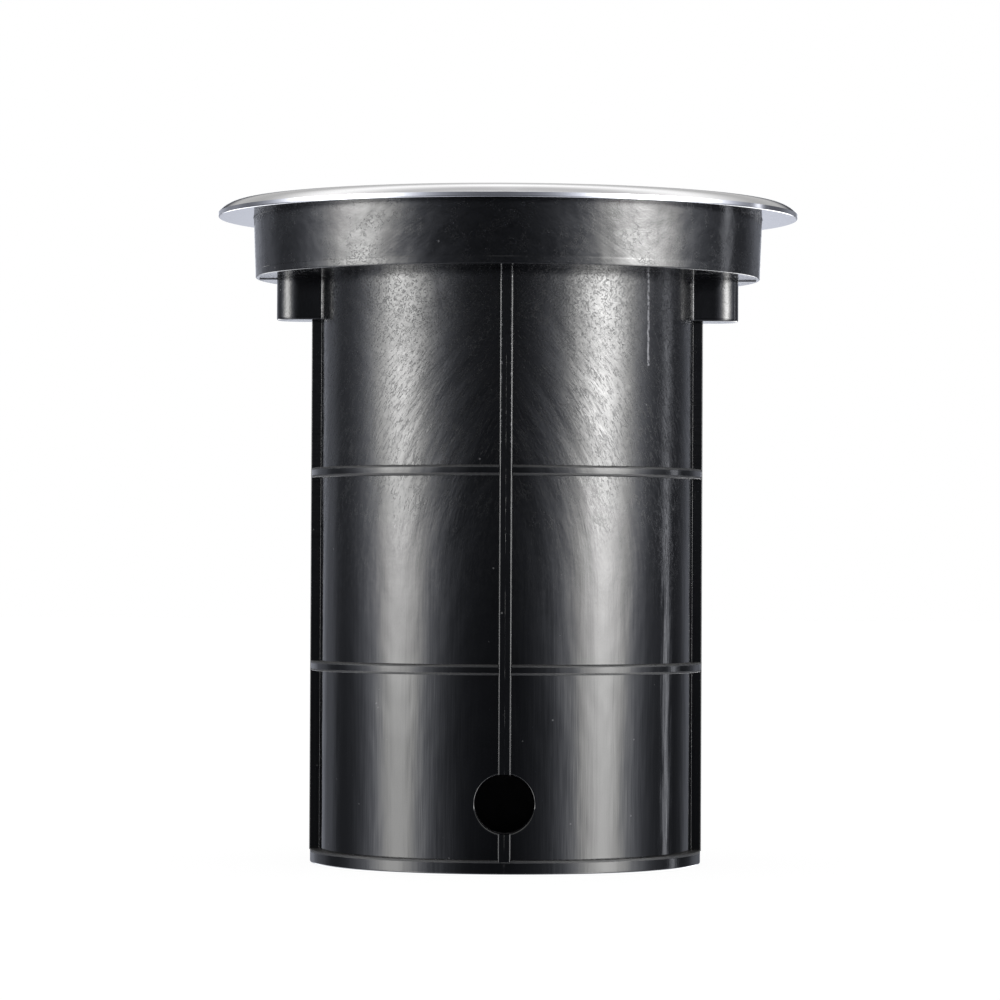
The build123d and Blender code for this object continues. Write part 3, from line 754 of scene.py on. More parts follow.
def smoothed_node(node: str, finish: Finish, body: Body) -> bpy.types.Object:
    """Stands for a CAD node with a merged copy of its mesh, smooth but for its sharp edges."""
    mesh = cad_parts[node].data.copy()
    mesh.name = node + "_smooth"
    work = bmesh.new()
    work.from_mesh(mesh)
    bmesh.ops.remove_doubles(work, verts=work.verts, dist=MERGE)
    work.to_mesh(mesh)
    work.free()
    for layer in [layer.name for layer in mesh.attributes if layer.name == "custom_normal"]:
        mesh.attributes.remove(mesh.attributes[layer])
    mesh.shade_smooth()
    mesh.set_sharp_from_angle(angle=radians(SHARP))
    return place_piece(mesh, finish, body, node)


@dataclass
class SubAssembly(ABC):
    """A group of pieces on one body."""

    pieces: list[bpy.types.Object] = field(default_factory=list, init=False)

    @abstractmethod
    def build(self) -> None:
        """Builds and dresses the pieces."""


@dataclass
class MountingSleeve(SubAssembly):
    """Moulded sleeve: pot, collar, screw bosses, ribs, rings, base and cable hole. Sizes in mm."""

    pot: float = 35.3
    bore: float = 33.3
    base: float = 37.03
    base_top: float = 2.5
    base_edge: float = 0.04
    base_foot: float = 0.3
    foot_row: float = 0.1  # distance of the wall's second row of points from its foot
    edge: float = 0.2
    ring_edge: float = 0.12
    ring_draft: float = 0.045
    root: float = 0.10  # fillets where rings and ribs meet the pot
    rib_reach: float = 37.18
    rib_half: float = 1.1
    ring_reach: float = 37.05
    ring_lows: tuple = (36.3, 72.8)
    ring_thickness: float = 1.8
    sunk: float = 0.3  # how far rings and ribs start inside the wall
    overlap: float = 0.2  # how far ribs and bosses run into base and collar
    collar_low: float = 110.65
    collar_foot: float = 0.18
    part: float = 112.0  # height of the parting line
    part_reach: float = 0.10
    part_depth: float = 0.14
    part_middle: float = radians(-128)
    part_width: float = radians(26)
    collar: float = 47.92
    collar_part: float = 47.95
    lip: float = 48.35
    lip_edge: float = 0.08
    top: float = 122.4
    top_edge: float = 0.3
    collar_bore: float = 45.4
    shelf: float = 113.0
    boss_offset: float = 39.2
    boss: float = 4.7
    boss_low: float = 102.7
    boss_fillet: float = 0.5
    boss_edge: float = 0.4
    boss_row: float = 0.15  # distance of the points that keep the straight sides unshaded
    boss_band: float = 0.6  # height of the straight wall's first row over the boss's foot
    under_rib: float = 0.18
    under_rib_half: float = 0.6
    under_rib_edge: float = 0.08
    under_rib_start: float = 41.2
    under_rib_end: float = 47.22
    insert: float = 2.8
    insert_low: float = 105.0
    hole: float = 5.5
    hole_height: float = 12.75
    hole_edge: float = 0.25
    spout: float = 7.5
    spout_inside: float = 30.3
    hole_cells: int = 12  # half the columns of the pierced cell
    hole_reach: float = 8.6
    hole_crowd: float = 1.5  # above 1, rows crowd towards the hole
    drain_middle: float = 6.0
    drain: float = 3.5
    drain_circle: float = 22.0
    drain_band: tuple = (15.0, 29.0)
    drain_count: int = 6
    cell_rows: int = 12
    cell_half: int = 10  # half the columns of a cell of the shelf
    crowd: float = 1.4  # above 1, rows crowd towards a hole
    support: float = 0.06  # distance of the support points of small roundings

    def build(self) -> None:
        """Builds the sleeve as one piece."""
        skin = Skin()
        self.add_walls(skin)
        self.add_collar(skin)
        self.add_floor(skin)
        for low in self.ring_lows:
            self.add_ring(skin, low)
        for turn in range(4):
            self.add_rib(skin, FRONT + turn * pi / 2)
        for side in (0.0, pi):
            self.add_boss(skin, side)
        mesh = skin.mesh("sleeve_moulding")
        self.pieces.append(place_piece(mesh, MouldedSleeve(), Body.SLEEVE, "mounting_sleeve"))

    def hole_loop(self, radius: float) -> tuple[Array, Array]:
        """Boundary of the pierced cell of a wall, and the direction of its points from the hole.

        Args:
            radius: Radius of the wall.

        Returns:
            (x, height above the hole) of each point, and its angle round the hole's axis.
        """
        reach = self.hole_cells * STEP
        low, high = -self.hole_reach, self.hole_reach
        loop = cell_loop(low, high, -reach, reach, 2 * self.hole_cells)
        flat = np.stack([radius * np.sin(loop[:, 1]), loop[:, 0]], -1)
        return flat, np.arctan2(flat[:, 1], flat[:, 0])

    def on_wall(self, flat: Array, radius: float, depth: Array | float = 0.0) -> Array:
        """Points of a front view laid on a cylinder: y = -sqrt(R^2 - x^2) + depth."""
        x, z = flat[..., 0], flat[..., 1]
        return np.stack([x, -np.sqrt(radius**2 - x**2) + depth, z + self.hole_height], -1)

    def add_walls(self, skin: Skin) -> None:
        """Outer and inner wall of the pot, each with a pierced cell round the cable hole."""
        cell_low, cell_high = self.hole_height - self.hole_reach, self.hole_height + self.hole_reach
        cell_rows = np.linspace(cell_low, cell_high, 2 * self.hole_cells + 1)
        above = np.linspace(cell_high, self.collar_low, self.cell_rows)[1:]
        foot = [self.base_top, self.base_top + self.foot_row]
        heights = np.concatenate([foot, cell_rows, above])
        row_middle = (heights[1:] + heights[:-1]) / 2
        off_cell = (row_middle < cell_low) | (row_middle > cell_high)
        from_front = np.abs((MIDDLES - FRONT + pi) % (2 * pi) - pi)
        keep = off_cell[:, None] | (from_front > self.hole_cells * STEP)[None, :]
        skin.turn([(self.pot, height) for height in heights], keep=keep)
        inner = [(self.bore, height) for height in (*heights, self.shelf)]
        inner_keep = np.vstack([keep, np.ones((1, COLUMNS), bool)])
        skin.turn(inner, flip=True, keep=inner_keep)
        self.add_hole(skin)

    def add_hole(self, skin: Skin) -> None:
        """Cable hole: both pierced cells, the rounded mouth, the bore and the spout inside."""
        flat, around = self.hole_loop(self.pot)
        ring = unit(around)
        mouth = ring * (self.hole + self.hole_edge)
        skin.add(self.on_wall(blended(mouth, flat, self.cell_rows, self.hole_crowd), self.pot))
        bend = np.linspace(0, pi / 2, 5)[:, None, None]
        lip = ring * (self.hole + self.hole_edge * (1 - np.sin(bend)))
        depth = self.hole_edge * (1 - np.cos(bend[..., 0]))
        skin.add(self.on_wall(lip, self.pot, depth), flip=True)
        inner_flat, inner_around = self.hole_loop(self.bore)
        inner_ring = unit(inner_around)
        spout = inner_ring * self.spout
        skin.add(self.on_wall(blended(spout, inner_flat, rows=5), self.bore), flip=True)

        start = self.on_wall(ring * self.hole, self.pot, self.hole_edge)
        spout_start = self.on_wall(spout, self.bore)
        bore_end, spout_end = start.copy(), spout_start.copy()
        bore_end[:, 1] = spout_end[:, 1] = -self.spout_inside
        mouth_inside = spout_end.copy()
        mouth_inside[:, 0] = inner_ring[:, 0] * self.hole
        mouth_inside[:, 2] = self.hole_height + inner_ring[:, 1] * self.hole
        skin.add(blended(start, bore_end, rows=6), flip=True)
        skin.add(blended(spout_start, spout_end, rows=3))
        skin.add(blended(mouth_inside, spout_end, rows=2), flip=True)

    def add_collar(self, skin: Skin) -> None:
        """Collar from the pot's wall out, up, over its top and down to the shelf.

        A shallow groove is the mould's parting line. It is deepest on the left of the front and
        fades as exp(-(angle / width) ** 2).
        """
        corners = [
            (self.pot, self.collar_low),
            (self.collar, self.collar_low),
            (self.collar_part, self.part - self.part_reach),
            (self.collar_part, self.part),
            (self.collar_part, self.part + self.part_reach),
            (self.lip, self.top),
            (self.collar_bore, self.top),
            (self.collar_bore, self.shelf),
        ]
        radii = [self.collar_foot, 0, 0, 0, self.lip_edge, self.top_edge]
        outline = rounded_outline(corners, radii)
        wall = turned(outline)
        from_deepest = (TURNS - self.part_middle + pi) % (2 * pi) - pi
        depth = self.part_depth * np.exp(-((from_deepest / self.part_width) ** 2))
        at_part = np.abs(outline[:, 1] - self.part) < self.part_reach / 5
        wall[at_part, :, :2] *= (1 - depth / self.collar_part)[:, None]
        skin.add(wall)
        self.add_shelf(skin)

    def add_shelf(self, skin: Skin) -> None:
        """Shelf inside the collar, with a blind hole for each thread insert."""
        rows, reach = self.cell_rows, self.cell_half * STEP
        flat = np.linspace(self.collar_bore, self.bore, rows + 1)[:, None]
        beside = np.broadcast_to(beside_screws(reach), (rows, COLUMNS))
        skin.turn(at_height(flat, self.shelf), keep=beside)
        for side in (0.0, pi):
            limits = (self.bore, self.collar_bore)
            outside, centre, ring = pierced_cell(limits, side, reach, rows, self.boss_offset)
            circle = centre + ring * self.insert
            skin.add(at_height(blended(circle, outside, 6, self.crowd), self.shelf), flip=True)
            foot = at_height(circle, self.insert_low)
            skin.add(np.stack([foot, at_height(circle, self.shelf)]), flip=True)
            skin.add(np.stack([foot, at_height(centre + 0 * circle, self.insert_low)]))

    def add_floor(self, skin: Skin) -> None:
        """Base disc with its underside, floor and drains.

        The disc is an inner ring, a pierced ring of one cell for each drain, and an outer ring.
        """
        near, far = self.drain_band
        rim = rounded_outline(
            [(self.pot, self.base_top), (self.base, self.base_top), (self.base, 0.0), (far, 0.0)],
            [self.base_edge, self.base_foot],
        )
        skin.turn(rim[::-1])
        for level in (0.0, self.base_top):
            skin.turn([(self.drain_middle, level), (near, level)], flip=not level)
        skin.turn([(far, self.base_top), (self.bore, self.base_top)])
        skin.turn([(self.drain_middle, 0.0), (self.drain_middle, self.base_top)], flip=True)
        reach = pi / self.drain_count
        for turn in range(self.drain_count):
            side = reach + 2 * reach * turn
            outside, centre, ring = pierced_cell(
                self.drain_band, side, reach, self.cell_rows, self.drain_circle
            )
            circle = centre + ring * self.drain
            face = blended(circle, outside, 6, self.crowd)
            for level in (0.0, self.base_top):
                skin.add(at_height(face, level), flip=bool(level))
            low, high = at_height(circle, 0.0), at_height(circle, self.base_top)
            skin.add(np.stack([low, high]), flip=True)

    def add_ring(self, skin: Skin, low: float) -> None:
        """Ring round the pot, run into it by small fillets.

        Its face draws in towards the bottom: r = reach - draft (1 - s) ** 2, s from bottom to top.
        """
        high = low + self.ring_thickness
        inside = self.pot - self.sunk
        rise = np.linspace(0, 1, 5)
        face = self.ring_reach - self.ring_draft * (1 - rise) ** 2
        corners = [
            (inside, low - self.root),
            (self.pot, low - self.root),
            (self.pot, low),
            *zip(face, low + self.ring_thickness * rise),
            (self.pot, high),
            (self.pot, high + self.root),
            (inside, high + self.root),
        ]
        half = [0.0, self.root * 0.95, self.ring_edge]
        radii = [*half, 0, 0, 0, *half[::-1]]
        skin.turn(rounded_outline(corners, radii, steps=4, support=self.support))

    def add_rib(self, skin: Skin, side: float) -> None:
        """Upright rib; the one at the front stops at the cable hole and goes on below it.

        Its section in plan is carried along Z, from a start height that may vary across it.
        """
        inside = self.pot - self.sunk
        reach = self.rib_half + self.root
        half = [
            (inside, reach),
            (sqrt(self.pot**2 - reach**2), reach),
            (sqrt(self.pot**2 - self.rib_half**2), self.rib_half),
            (self.rib_reach, self.rib_half),
        ]
        corners = [(away, -aside) for away, aside in half] + half[::-1]
        fillet = self.root * 0.6
        radii = [0.0, fillet, self.edge, self.edge, fillet, 0.0]
        section = rounded_outline(corners, radii, steps=4, support=self.support)
        across = section[:, 1]
        bottom = np.full(len(section), self.base_top - self.overlap)
        top = np.full(len(section), self.collar_low + self.overlap)
        spans = [(bottom, top)]
        if side == FRONT:
            gap = np.sqrt(self.hole**2 - across**2)
            spans = [(bottom, self.hole_height - gap), (self.hole_height + gap, top)]
        for low, high in spans:
            height = blended(low[:, None], high[:, None], rows=8)[..., 0]
            skin.add(self.upright(section[:, 0], across, height, side))
            for ends, flip in ((low, True), (high, False)):
                away = np.stack([section[:, 0], np.full(len(section), inside)])
                skin.add(self.upright(away, across, ends, side), flip=flip)

    @staticmethod
    def upright(away: Array, aside: Array, height: Array | float, side: float) -> Array:
        """Points given by their distance along a direction of the plan, across it and up."""
        away, aside, height = np.broadcast_arrays(away, aside, height)
        x = away * cos(side) - aside * sin(side)
        y = away * sin(side) + aside * cos(side)
        return np.stack([x, y, height], -1)

    def boss_plan(self) -> Array:
        """Plan of a boss along +X, from the pot round its tip and back.

        The pot's wall and the boss's straight side are joined by an arc that touches both: its
        centre is a fillet radius away from the side and from the pot.
        """
        side = self.boss + self.boss_fillet
        away = sqrt((self.pot + self.boss_fillet) ** 2 - side**2)
        bend = np.linspace(np.arctan2(side, away) - pi, -pi / 2, 7)
        fillet = np.array([away, side]) + self.boss_fillet * unit(bend)
        tip = np.linspace(pi / 2, -pi / 2, 41)
        round_tip = np.array([self.boss_offset, 0]) + self.boss * unit(tip)
        ends = away + self.boss_row, self.boss_offset - self.boss_row
        run = np.array([[end, self.boss] for end in ends])
        mirror = [1, -1]
        parts = [fillet, run, round_tip, (run * mirror)[::-1], (fillet * mirror)[::-1]]
        return np.vstack(parts)[::-1]

    def add_boss(self, skin: Skin, side: float) -> None:
        """Screw boss under the collar: its plan carried down and rounded at the bottom edge."""
        plan = self.boss_plan()
        along = np.gradient(plan, axis=0)
        along /= np.linalg.norm(along, axis=1, keepdims=True)
        out = np.stack([along[:, 1], -along[:, 0]], -1)
        bend = np.linspace(0, pi / 2, 5)[:, None]
        rise = self.boss_low + self.boss_edge * (1 - np.cos(bend))
        ends = [[self.boss_low + self.boss_band], [self.collar_low + self.overlap]]
        height = np.concatenate([rise, ends])
        shrink = np.concatenate([self.boss_edge * (1 - np.sin(bend)), [[0.0], [0.0]]])
        grid = plan - shrink[..., None] * out
        skin.add(self.upright(grid[..., 0], grid[..., 1], height, side))
        floor = plan - self.boss_edge * out
        spine = np.clip(floor[:, 0], self.pot - 2 * self.sunk, self.boss_offset)
        cap = blended(np.stack([spine, 0 * spine], -1), floor, rows=4)
        skin.add(self.upright(cap[..., 0], cap[..., 1], self.boss_low, side))
        self.add_under_rib(skin, side)

    def add_under_rib(self, skin: Skin, side: float) -> None:
        """Low rib under the collar, from the boss outwards."""
        half, root, tip = self.under_rib_half, self.overlap, -self.under_rib
        corners = [(-half, root), (-half, tip), (half, tip), (half, root)]
        section = rounded_outline(corners, [self.under_rib_edge] * 2, steps=3, support=0.05)
        aside, height = section[:, 0], section[:, 1] + self.collar_low
        away = np.linspace(self.under_rib_start, self.under_rib_end, 5)[:, None]
        skin.add(self.upright(away, aside, height, side), flip=True)
        end = np.stack([height, np.full(len(height), self.collar_low + root)])
        skin.add(self.upright(self.under_rib_end, aside, end, side), flip=True)


@dataclass
class Cover(SubAssembly):
    """Stainless trim with its screws, glass and gasket. Sizes in mm."""

    trim: float = 55.0
    rim: float = 122.1
    rim_edge: float = 0.18
    land: float = 123.0
    land_row: float = 0.06  # distance of the rim's last row of points from the shoulder
    face_edge: float = 51.0
    face: float = 124.9
    crown: float = 125.0
    fullness: float = 0.63
    opening: float = 30.0
    opening_bevel: float = 1.0
    opening_edges: tuple = (0.3, 0.15)
    seat: float = 48.45
    seat_edge: float = 0.03
    under: float = 122.4
    screw_offset: float = 39.2
    head: float = 4.0
    head_low: float = 124.6
    head_flare: tuple = (0.15, 0.04, 0.0)  # how much wider the countersink's rounded mouth is
    cone_low: float = 122.85
    shank: float = 2.25
    shank_stop: float = 0.02  # where the screw hole ends, above the underside
    cell: tuple = (33.0, 46.0)
    cell_rows: int = 13
    cell_half: int = 10
    crowd: float = 1.4  # above 1, rows crowd towards a hole
    glass: float = 33.0
    glass_low: float = 115.6
    glass_high: float = 121.6
    glass_edge: float = 0.5
    gasket: float = 35.0
    gasket_low: float = 114.6
    gasket_lip: float = 30.5
    gasket_edge: float = 0.3
    sharp: float = 30.0  # degrees, edges that stay sharp

    def build(self) -> None:
        """Builds trim, glass, gasket and screws."""
        steel = Metal("trim_steel", (0.50, 0.50, 0.51), 0.09, Brush.TURNED, satin=0.0509)
        pane = Clear("cover_glass", (0.93, 0.985, 0.96), 1.52)
        rubber = Solid("gasket_silicone", (0.52, 0.52, 0.50), 0.55, 1200.0, 0.00002)
        for skin, name, finish, node in (
            (self.trim_skin(), "trim_plate", steel, "trim_ring"),
            (self.glass_skin(), "glass_disc", pane, "cover_glass"),
            (self.gasket_skin(), "glass_seal", rubber, "glass_gasket"),
        ):
            self.pieces.append(place_piece(skin.mesh(name, self.sharp), finish, Body.COVER, node))
        self.pieces.append(smoothed_node("trim_screws", SCREW_STEEL, Body.COVER))

    def face_height(self, radius: Array) -> Array:
        """Height of the nearly flat face at a radius: a straight fall from crown to shoulder."""
        inner = self.opening + self.opening_bevel
        return self.crown + (radius - inner) / (self.face_edge - inner) * (self.face - self.crown)

    def shoulder(self, steps: int = 24) -> Array:
        """Arc through land, half way point and face edge.

        The circle through three points has its centre where the perpendicular bisectors meet.
        """
        width, rise = self.trim - self.face_edge, self.face - self.land
        ends = np.array([[self.trim, self.land], [self.face_edge, self.face]])
        mid = np.array([self.trim - width * (1 - self.fullness), self.land + rise * self.fullness])
        rows = 2 * np.stack([mid - ends[0], ends[1] - mid])
        squares = [mid @ mid - ends[0] @ ends[0], ends[1] @ ends[1] - mid @ mid]
        centre = np.linalg.solve(rows, squares)
        angles = np.arctan2(ends[:, 1] - centre[1], ends[:, 0] - centre[0])
        sweep = np.linspace(angles[0], angles[1], steps + 1)
        return centre + np.linalg.norm(ends[0] - centre) * unit(sweep)

    def trim_skin(self) -> Skin:
        """Trim: rim, shoulder, face with two countersunk holes, opening, underside and seat."""
        skin = Skin()
        inner = self.opening + self.opening_bevel
        cell_low, cell_high = self.cell
        edge = [
            (self.seat, self.under),
            (self.seat, self.rim),
            (self.trim, self.rim),
            (self.trim, self.land),
        ]
        edge = rounded_outline(edge, [self.seat_edge, self.rim_edge], steps=4)
        edge = np.vstack([edge[:-1], [[self.trim, self.land - self.land_row]], self.shoulder()])
        plain = np.linspace(self.face_edge, cell_high, 4)
        pierced = np.linspace(cell_high, cell_low, self.cell_rows + 1)
        inside = np.linspace(cell_low, inner, 3)
        radii = np.concatenate([plain[1:], pierced[1:], inside[1:]])
        outline = np.vstack([edge, np.stack([radii, self.face_height(radii)], -1)])
        reach = self.cell_half * STEP
        row_middle = (outline[1:, 0] + outline[:-1, 0]) / 2
        on_face = np.arange(len(row_middle)) >= len(edge) - 1
        in_band = on_face & (row_middle < cell_high) & (row_middle > cell_low)
        keep = ~in_band[:, None] | beside_screws(reach)
        skin.turn(outline, keep=keep)
        bevel = [
            (inner, self.crown),
            (self.opening, self.crown - self.opening_bevel),
            (self.opening, self.under),
            (self.seat, self.under),
        ]
        skin.turn(rounded_outline(bevel, self.opening_edges, steps=4))
        for side in (0.0, pi):
            cell = pierced_cell(self.cell, side, reach, self.cell_rows, self.screw_offset)
            self.add_sink(skin, cell)
        return skin

    def add_sink(self, skin: Skin, cell: tuple) -> None:
        """Countersunk hole: the pierced cell of the face, the rounded mouth, cone and shank."""
        outside, centre, ring = cell
        flare = np.array(self.head_flare)
        flat = blended(centre + ring * (self.head + flare[0]), outside, 6, self.crowd)
        level = self.face_height(np.linalg.norm(flat, axis=-1))
        skin.add(at_height(flat, level), flip=True)
        mouth = level[0] - flare[::-1, None]
        lower = np.array([self.head_low, self.cone_low, self.under + self.shank_stop])[:, None]
        height = np.vstack([mouth, np.broadcast_to(lower, mouth.shape)])
        radii = np.array([*self.head + flare, self.head, self.shank, self.shank])
        skin.add(at_height(centre + radii[:, None, None] * ring, height))

    def glass_skin(self) -> Skin:
        """Disc with ground edges, closed at its axis."""
        low, high = self.glass_low, self.glass_high
        corners = [(0, low), (self.glass, low), (self.glass, high), (0, high)]
        skin = Skin()
        skin.turn(rounded_outline(corners, [self.glass_edge] * 2, steps=4))
        return skin

    def gasket_skin(self) -> Skin:
        """Channel of silicone round the glass's edge, with rounded lips."""
        corners = [
            (self.gasket_lip, self.gasket_low),
            (self.gasket, self.gasket_low),
            (self.gasket, self.under),
            (self.gasket_lip, self.under),
            (self.gasket_lip, self.glass_high),
            (self.glass, self.glass_high),
            (self.glass, self.glass_low),
            (self.gasket_lip, self.glass_low),
            (self.gasket_lip, self.gasket_low),
        ]
        edge = self.gasket_edge
        radii = [edge, edge, edge, 0.0, edge, edge, edge]
        skin = Skin()
        skin.turn(rounded_outline(corners, radii, steps=4))
        return skin


@dataclass
class DressedNodes(SubAssembly):
    """CAD nodes of one body that keep their shape and get a finish each."""

    body: Body = Body.SLEEVE
    finishes: dict[str, Finish] = field(default_factory=dict)

    def build(self) -> None:
        """Stands for each node with its smoothed copy."""
        for node, finish in self.finishes.items():
            self.pieces.append(smoothed_node(node, finish, self.body))


def sleeve_nodes() -> DressedNodes:
    """Small parts fixed in the sleeve."""
    brass = Metal("insert_brass", (0.80, 0.62, 0.30), 0.28)
    return DressedNodes(Body.SLEEVE, {"thread_inserts": brass})


def lamp_unit_nodes() -> DressedNodes:
    """Housing, gimbal frame, terminal block and cable gland."""
    gland = Solid("gland_nylon", (0.022, 0.022, 0.024), 0.46, 1100.0, 0.00005)
    rubber = Solid("gland_rubber", (0.018, 0.018, 0.018), 0.68, 1300.0, 0.00004)
    finishes = {
        "lamp_housing": Solid("housing_paint", (0.022, 0.022, 0.024), 0.42, 1500.0, 0.00006),
        "gimbal_frame": Metal("gimbal_steel", (0.66, 0.66, 0.67), 0.26, Brush.LENGTHWISE),
        "frame_screws": SCREW_STEEL,
        "pivot_pins": SCREW_STEEL,
        "friction_washers": Solid("washer_nylon", (0.76, 0.75, 0.69), 0.45),
        "terminal_block": Solid("terminal_nylon", (0.74, 0.74, 0.69), 0.42),
        "terminal_clamps": CONTACT_BRASS,
        "terminal_screws": SCREW_STEEL,
        "terminal_fixing_screw": SCREW_STEEL,
        "gland_body": gland,
        "gland_washer": rubber,
        "gland_locknut": gland,
        "gland_seal": rubber,
        "gland_nut": gland,
    }
    return DressedNodes(Body.LAMP_UNIT, finishes)


def lamp_nodes() -> DressedNodes:
    """Lamp, its ring and its holder."""
    finishes = {
        "lamp_ring": Solid("ring_paint", (0.035, 0.035, 0.037), 0.35, 1500.0, 0.00003),
        "lamp_clip": Metal("clip_steel", (0.74, 0.74, 0.74), 0.12, Brush.TURNED),
        "lamp_heatsink": Metal("lamp_aluminium", (0.66, 0.67, 0.69), 0.34),
        "lamp_lens": Clear("lens_acrylic", (0.97, 0.98, 0.99), 1.49, 0.02),
        "led_board": Solid("board_white", (0.80, 0.80, 0.79), 0.35),
        "led_chips": Solid("led_phosphor", (0.85, 0.62, 0.10), 0.25),
        "driver_board": Solid("board_green", (0.03, 0.16, 0.07), 0.35),
        "lamp_base": Solid("base_plastic", (0.70, 0.70, 0.68), 0.4),
        "lamp_pins": Metal("pin_plating", (0.70, 0.70, 0.68), 0.2),
        "holder_contacts": CONTACT_BRASS,
        "lamp_holder": Solid("holder_ceramic", (0.78, 0.76, 0.71), 0.6, 700.0, 0.00005),
    }
    return DressedNodes(Body.LAMP_CARRIER, finishes)


# --- Studio ------------------------------------------------------------------------------------
@dataclass(frozen=True)
class Softbox:
    """Upright band of light round the object.

    Its light falls off beside its middle as 1 / (1 + (angle / width) ** 2) ** 3.
    """

    azimuth: float  # degrees from the camera's side, to the right
    width: float
    light: float

    def shine(self, board: Board, azimuth: Socket) -> Socket:
        """Light at an azimuth in radians."""
        off = board.math("WRAP", board.minus(azimuth, radians(self.azimuth)), pi, -pi)
        share = board.math("DIVIDE", off, radians(self.width))
        fall = board.scaled(share, share, 1.0)
        return board.math("DIVIDE", self.light, board.math("POWER", fall, 3.0))


@dataclass(frozen=True)
class Ramp:
    """Eased step over a range of heights in degrees above eye level."""

    low: float
    high: float
    start: float = 0.0
    end: float = 1.0

    def at(self, board: Board, height: Socket) -> Socket:
        """Value at a height in radians."""
        return board.spread(height, radians(self.low), radians(self.high), self.start, self.end)


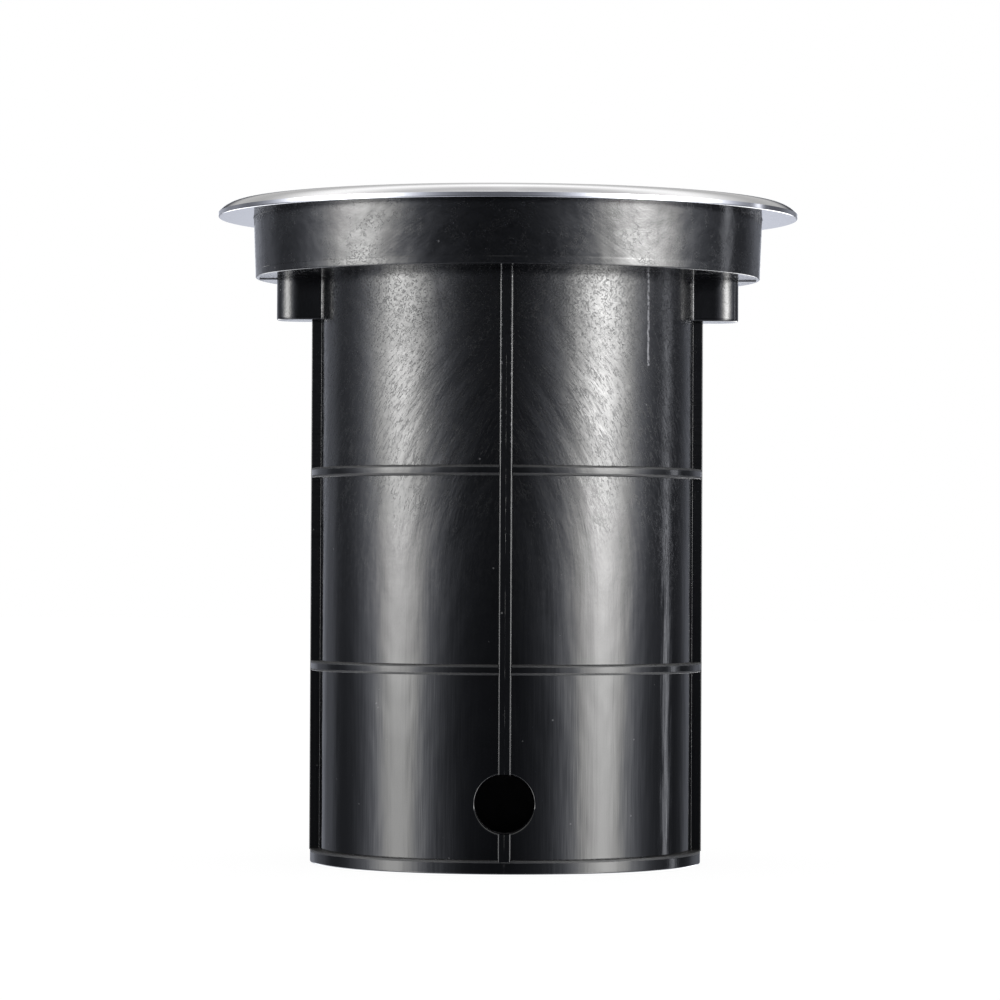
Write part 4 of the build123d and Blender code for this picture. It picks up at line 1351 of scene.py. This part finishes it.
@dataclass
class Studio:
    """Camera, floor and surroundings."""

    eye: tuple = (0.0039, -0.875, 0.056)
    turn: float = 0.0059  # to the left
    focal: float = 4600.0  # photo pixels
    pixels: float = 1000.0
    horizon: float = 67.0  # pixels from the middle of the photo down to eye level
    roll: float = 0.0048
    floor_size: float = 8.0
    ambient: float = 0.85
    fill: float = 0.06
    boxes: tuple = (
        Softbox(-68.5, 27.0, 13.5),
        Softbox(61.5, 27.0, 19.0),
        Softbox(180.0, 12.0, 1.6),
    )
    strips: tuple = (
        Softbox(117.0, 3.5, 2.5),
        Softbox(-157.0, 20.0, 0.40),
        Softbox(-136.0, 14.0, 0.22),
        Softbox(152.0, 20.0, 0.24),
    )
    low_boxes: tuple = (
        Softbox(-68.5, 27.0, 7.0),
        Softbox(61.5, 27.0, 9.0),
        Softbox(158.0, 27.0, 6.0),
        Softbox(-152.0, 22.0, 4.5),
    )
    cool: Colour = (0.91, 0.955, 1.10)  # colour of the weak light, and of the strong
    warm: Colour = (1.0, 0.995, 0.985)
    strong: float = 5.0  # light that counts as strong
    white_sky: Ramp = Ramp(8.0, 20.0)  # where the sky takes the colour of the strong light
    plateau: float = 0.49  # least share of the boxes' light at the floor
    fade: Ramp = Ramp(-8.0, 9.0, 0.13, 1.55)  # shares of the boxes' light
    foot: Ramp = Ramp(-12.0, -5.0, 0.3, 1.0)
    crest: Ramp = Ramp(2.6, 4.4, 1.0, 1.16)
    box_top: Ramp = Ramp(5.0, 9.5, 1.0, 0.05)
    sky: Ramp = Ramp(30.0, 52.0, 0.68, 1.90)  # light of the sky
    zenith: Ramp = Ramp(50.0, 72.0, 1.0, 0.52)  # shares of it
    sky_foot: Ramp = Ramp(11.0, 21.0)
    ground: Ramp = Ramp(-50.0, -12.0, 0.5, 0.0)  # light from the floor
    low_top: Ramp = Ramp(-7.0, -15.0)  # shares of the low boxes' light
    low_foot: Ramp = Ramp(-55.0, -25.0)
    floor_colour: Colour = (0.12, 0.12, 0.12)
    floor_glow: float = 0.92

    def build(self) -> None:
        """Builds camera, world and floor."""
        self.add_camera()
        self.add_world()
        self.add_floor()

    def add_camera(self) -> None:
        """Camera at the photo's place, pitched up so that eye level falls below the middle."""
        data = bpy.data.cameras.new("camera")
        data.sensor_width = 36.0
        data.lens = data.sensor_width * self.focal / self.pixels
        data.clip_start, data.clip_end = 0.05, 50.0
        camera = bpy.data.objects.new("camera", data)
        camera.location = self.eye
        pitch = atan(self.horizon / self.focal)
        aim = Euler((pi / 2 + pitch, 0, self.turn)).to_matrix()
        aim = aim @ Euler((0, 0, self.roll)).to_matrix()
        camera.rotation_euler = aim.to_euler()
        bpy.context.scene.collection.objects.link(camera)
        bpy.context.scene.camera = camera

    def shine(self, board: Board, azimuth: Socket, boxes: tuple) -> Socket:
        """Light of several boxes together at an azimuth in radians."""
        light = boxes[0].shine(board, azimuth)
        for box in boxes[1:]:
            light = board.plus(light, box.shine(board, azimuth))
        return light

    def mirrored(self, board: Board, azimuth: Socket, height: Socket) -> Socket:
        """Light that glossy surfaces mirror from a direction: boxes, sky, floor and low boxes."""
        bands = board.plus(self.shine(board, azimuth, self.boxes), self.fill)
        bands = board.times(bands, board.larger(self.fade.at(board, height), self.plateau))
        bands = board.times(bands, self.foot.at(board, height))
        bands = board.times(bands, self.crest.at(board, height))
        bands = board.plus(bands, self.shine(board, azimuth, self.strips))
        sky = board.times(self.sky.at(board, height), self.zenith.at(board, height))
        sky = board.times(sky, self.sky_foot.at(board, height))
        light = board.scaled(bands, self.box_top.at(board, height), sky)
        light = board.plus(light, self.ground.at(board, height))
        low = self.shine(board, azimuth, self.low_boxes)
        low = board.times(low, self.low_top.at(board, height))
        return board.plus(light, board.times(low, self.low_foot.at(board, height)))

    def add_world(self) -> None:
        """White to the camera, even light for matt surfaces, softboxes for glossy ones."""
        world = bpy.data.worlds.new("studio")
        bpy.context.scene.world = world
        board = Board(world)
        x, y, z = board.split(board.add("TexCoord").outputs["Generated"])
        azimuth = board.math("ARCTAN2", x, board.times(y, -1.0))
        height = board.math("ARCSINE", z)
        mirrored = self.mirrored(board, azimuth, height)
        share = board.math("DIVIDE", mirrored, self.strong)
        share = board.larger(share, self.white_sky.at(board, height))
        colour = board.mix(share, self.cool, self.warm)
        path = board.add("LightPath").outputs
        glossy = board.add("Background", {"Color": colour, "Strength": mirrored})
        even = board.add("Background", {"Color": WHITE, "Strength": self.ambient})
        white = board.add("Background", {"Color": WHITE, "Strength": 1.0})
        sides = {1: even.outputs[0], 2: glossy.outputs[0]}
        lit = board.add("MixShader", {0: path["Is Glossy Ray"], **sides})
        seen = board.larger(path["Is Camera Ray"], path["Is Transmission Ray"])
        final = board.add("MixShader", {0: seen, 1: lit.outputs[0], 2: white.outputs[0]})
        board.add("OutputWorld", {"Surface": final.outputs[0]})

    def add_floor(self) -> None:
        """Pale floor that keeps a faint shadow and lets mirrored rays go on to the world."""
        half = self.floor_size / 2
        corners = [(-half, -half, 0), (half, -half, 0), (half, half, 0), (-half, half, 0)]
        mesh = bpy.data.meshes.new("floor")
        mesh.from_pydata(corners, [], [(0, 1, 2, 3)])
        floor = bpy.data.objects.new("floor", mesh)
        bpy.context.scene.collection.objects.link(floor)
        material = bpy.data.materials.new("floor_pale")
        board = Board(material)
        path = board.add("LightPath").outputs
        matt = board.add("BsdfDiffuse", {"Color": (*self.floor_colour, 1.0)})
        glow = board.add("Emission", {"Color": WHITE, "Strength": self.floor_glow})
        both = board.add("AddShader", {0: matt.outputs[0], 1: glow.outputs[0]})
        gone = board.add("BsdfTransparent")
        sides = {1: both.outputs[0], 2: gone.outputs[0]}
        board.surface(board.add("MixShader", {0: path["Is Glossy Ray"], **sides}).outputs[0])
        mesh.materials.append(material)


def main() -> None:
    """Builds the light and its studio in order, and reports each piece."""
    logging.basicConfig(level=logging.INFO, format="%(name)s: %(message)s")
    parts = [MountingSleeve(), sleeve_nodes(), Cover(), lamp_unit_nodes(), lamp_nodes()]
    for part in parts:
        part.build()
        log.info("%s: %d pieces", type(part).__name__, len(part.pieces))
    Studio().build()
    bpy.context.scene.view_settings.view_transform = "Standard"


if __name__ == "__main__":
    main()
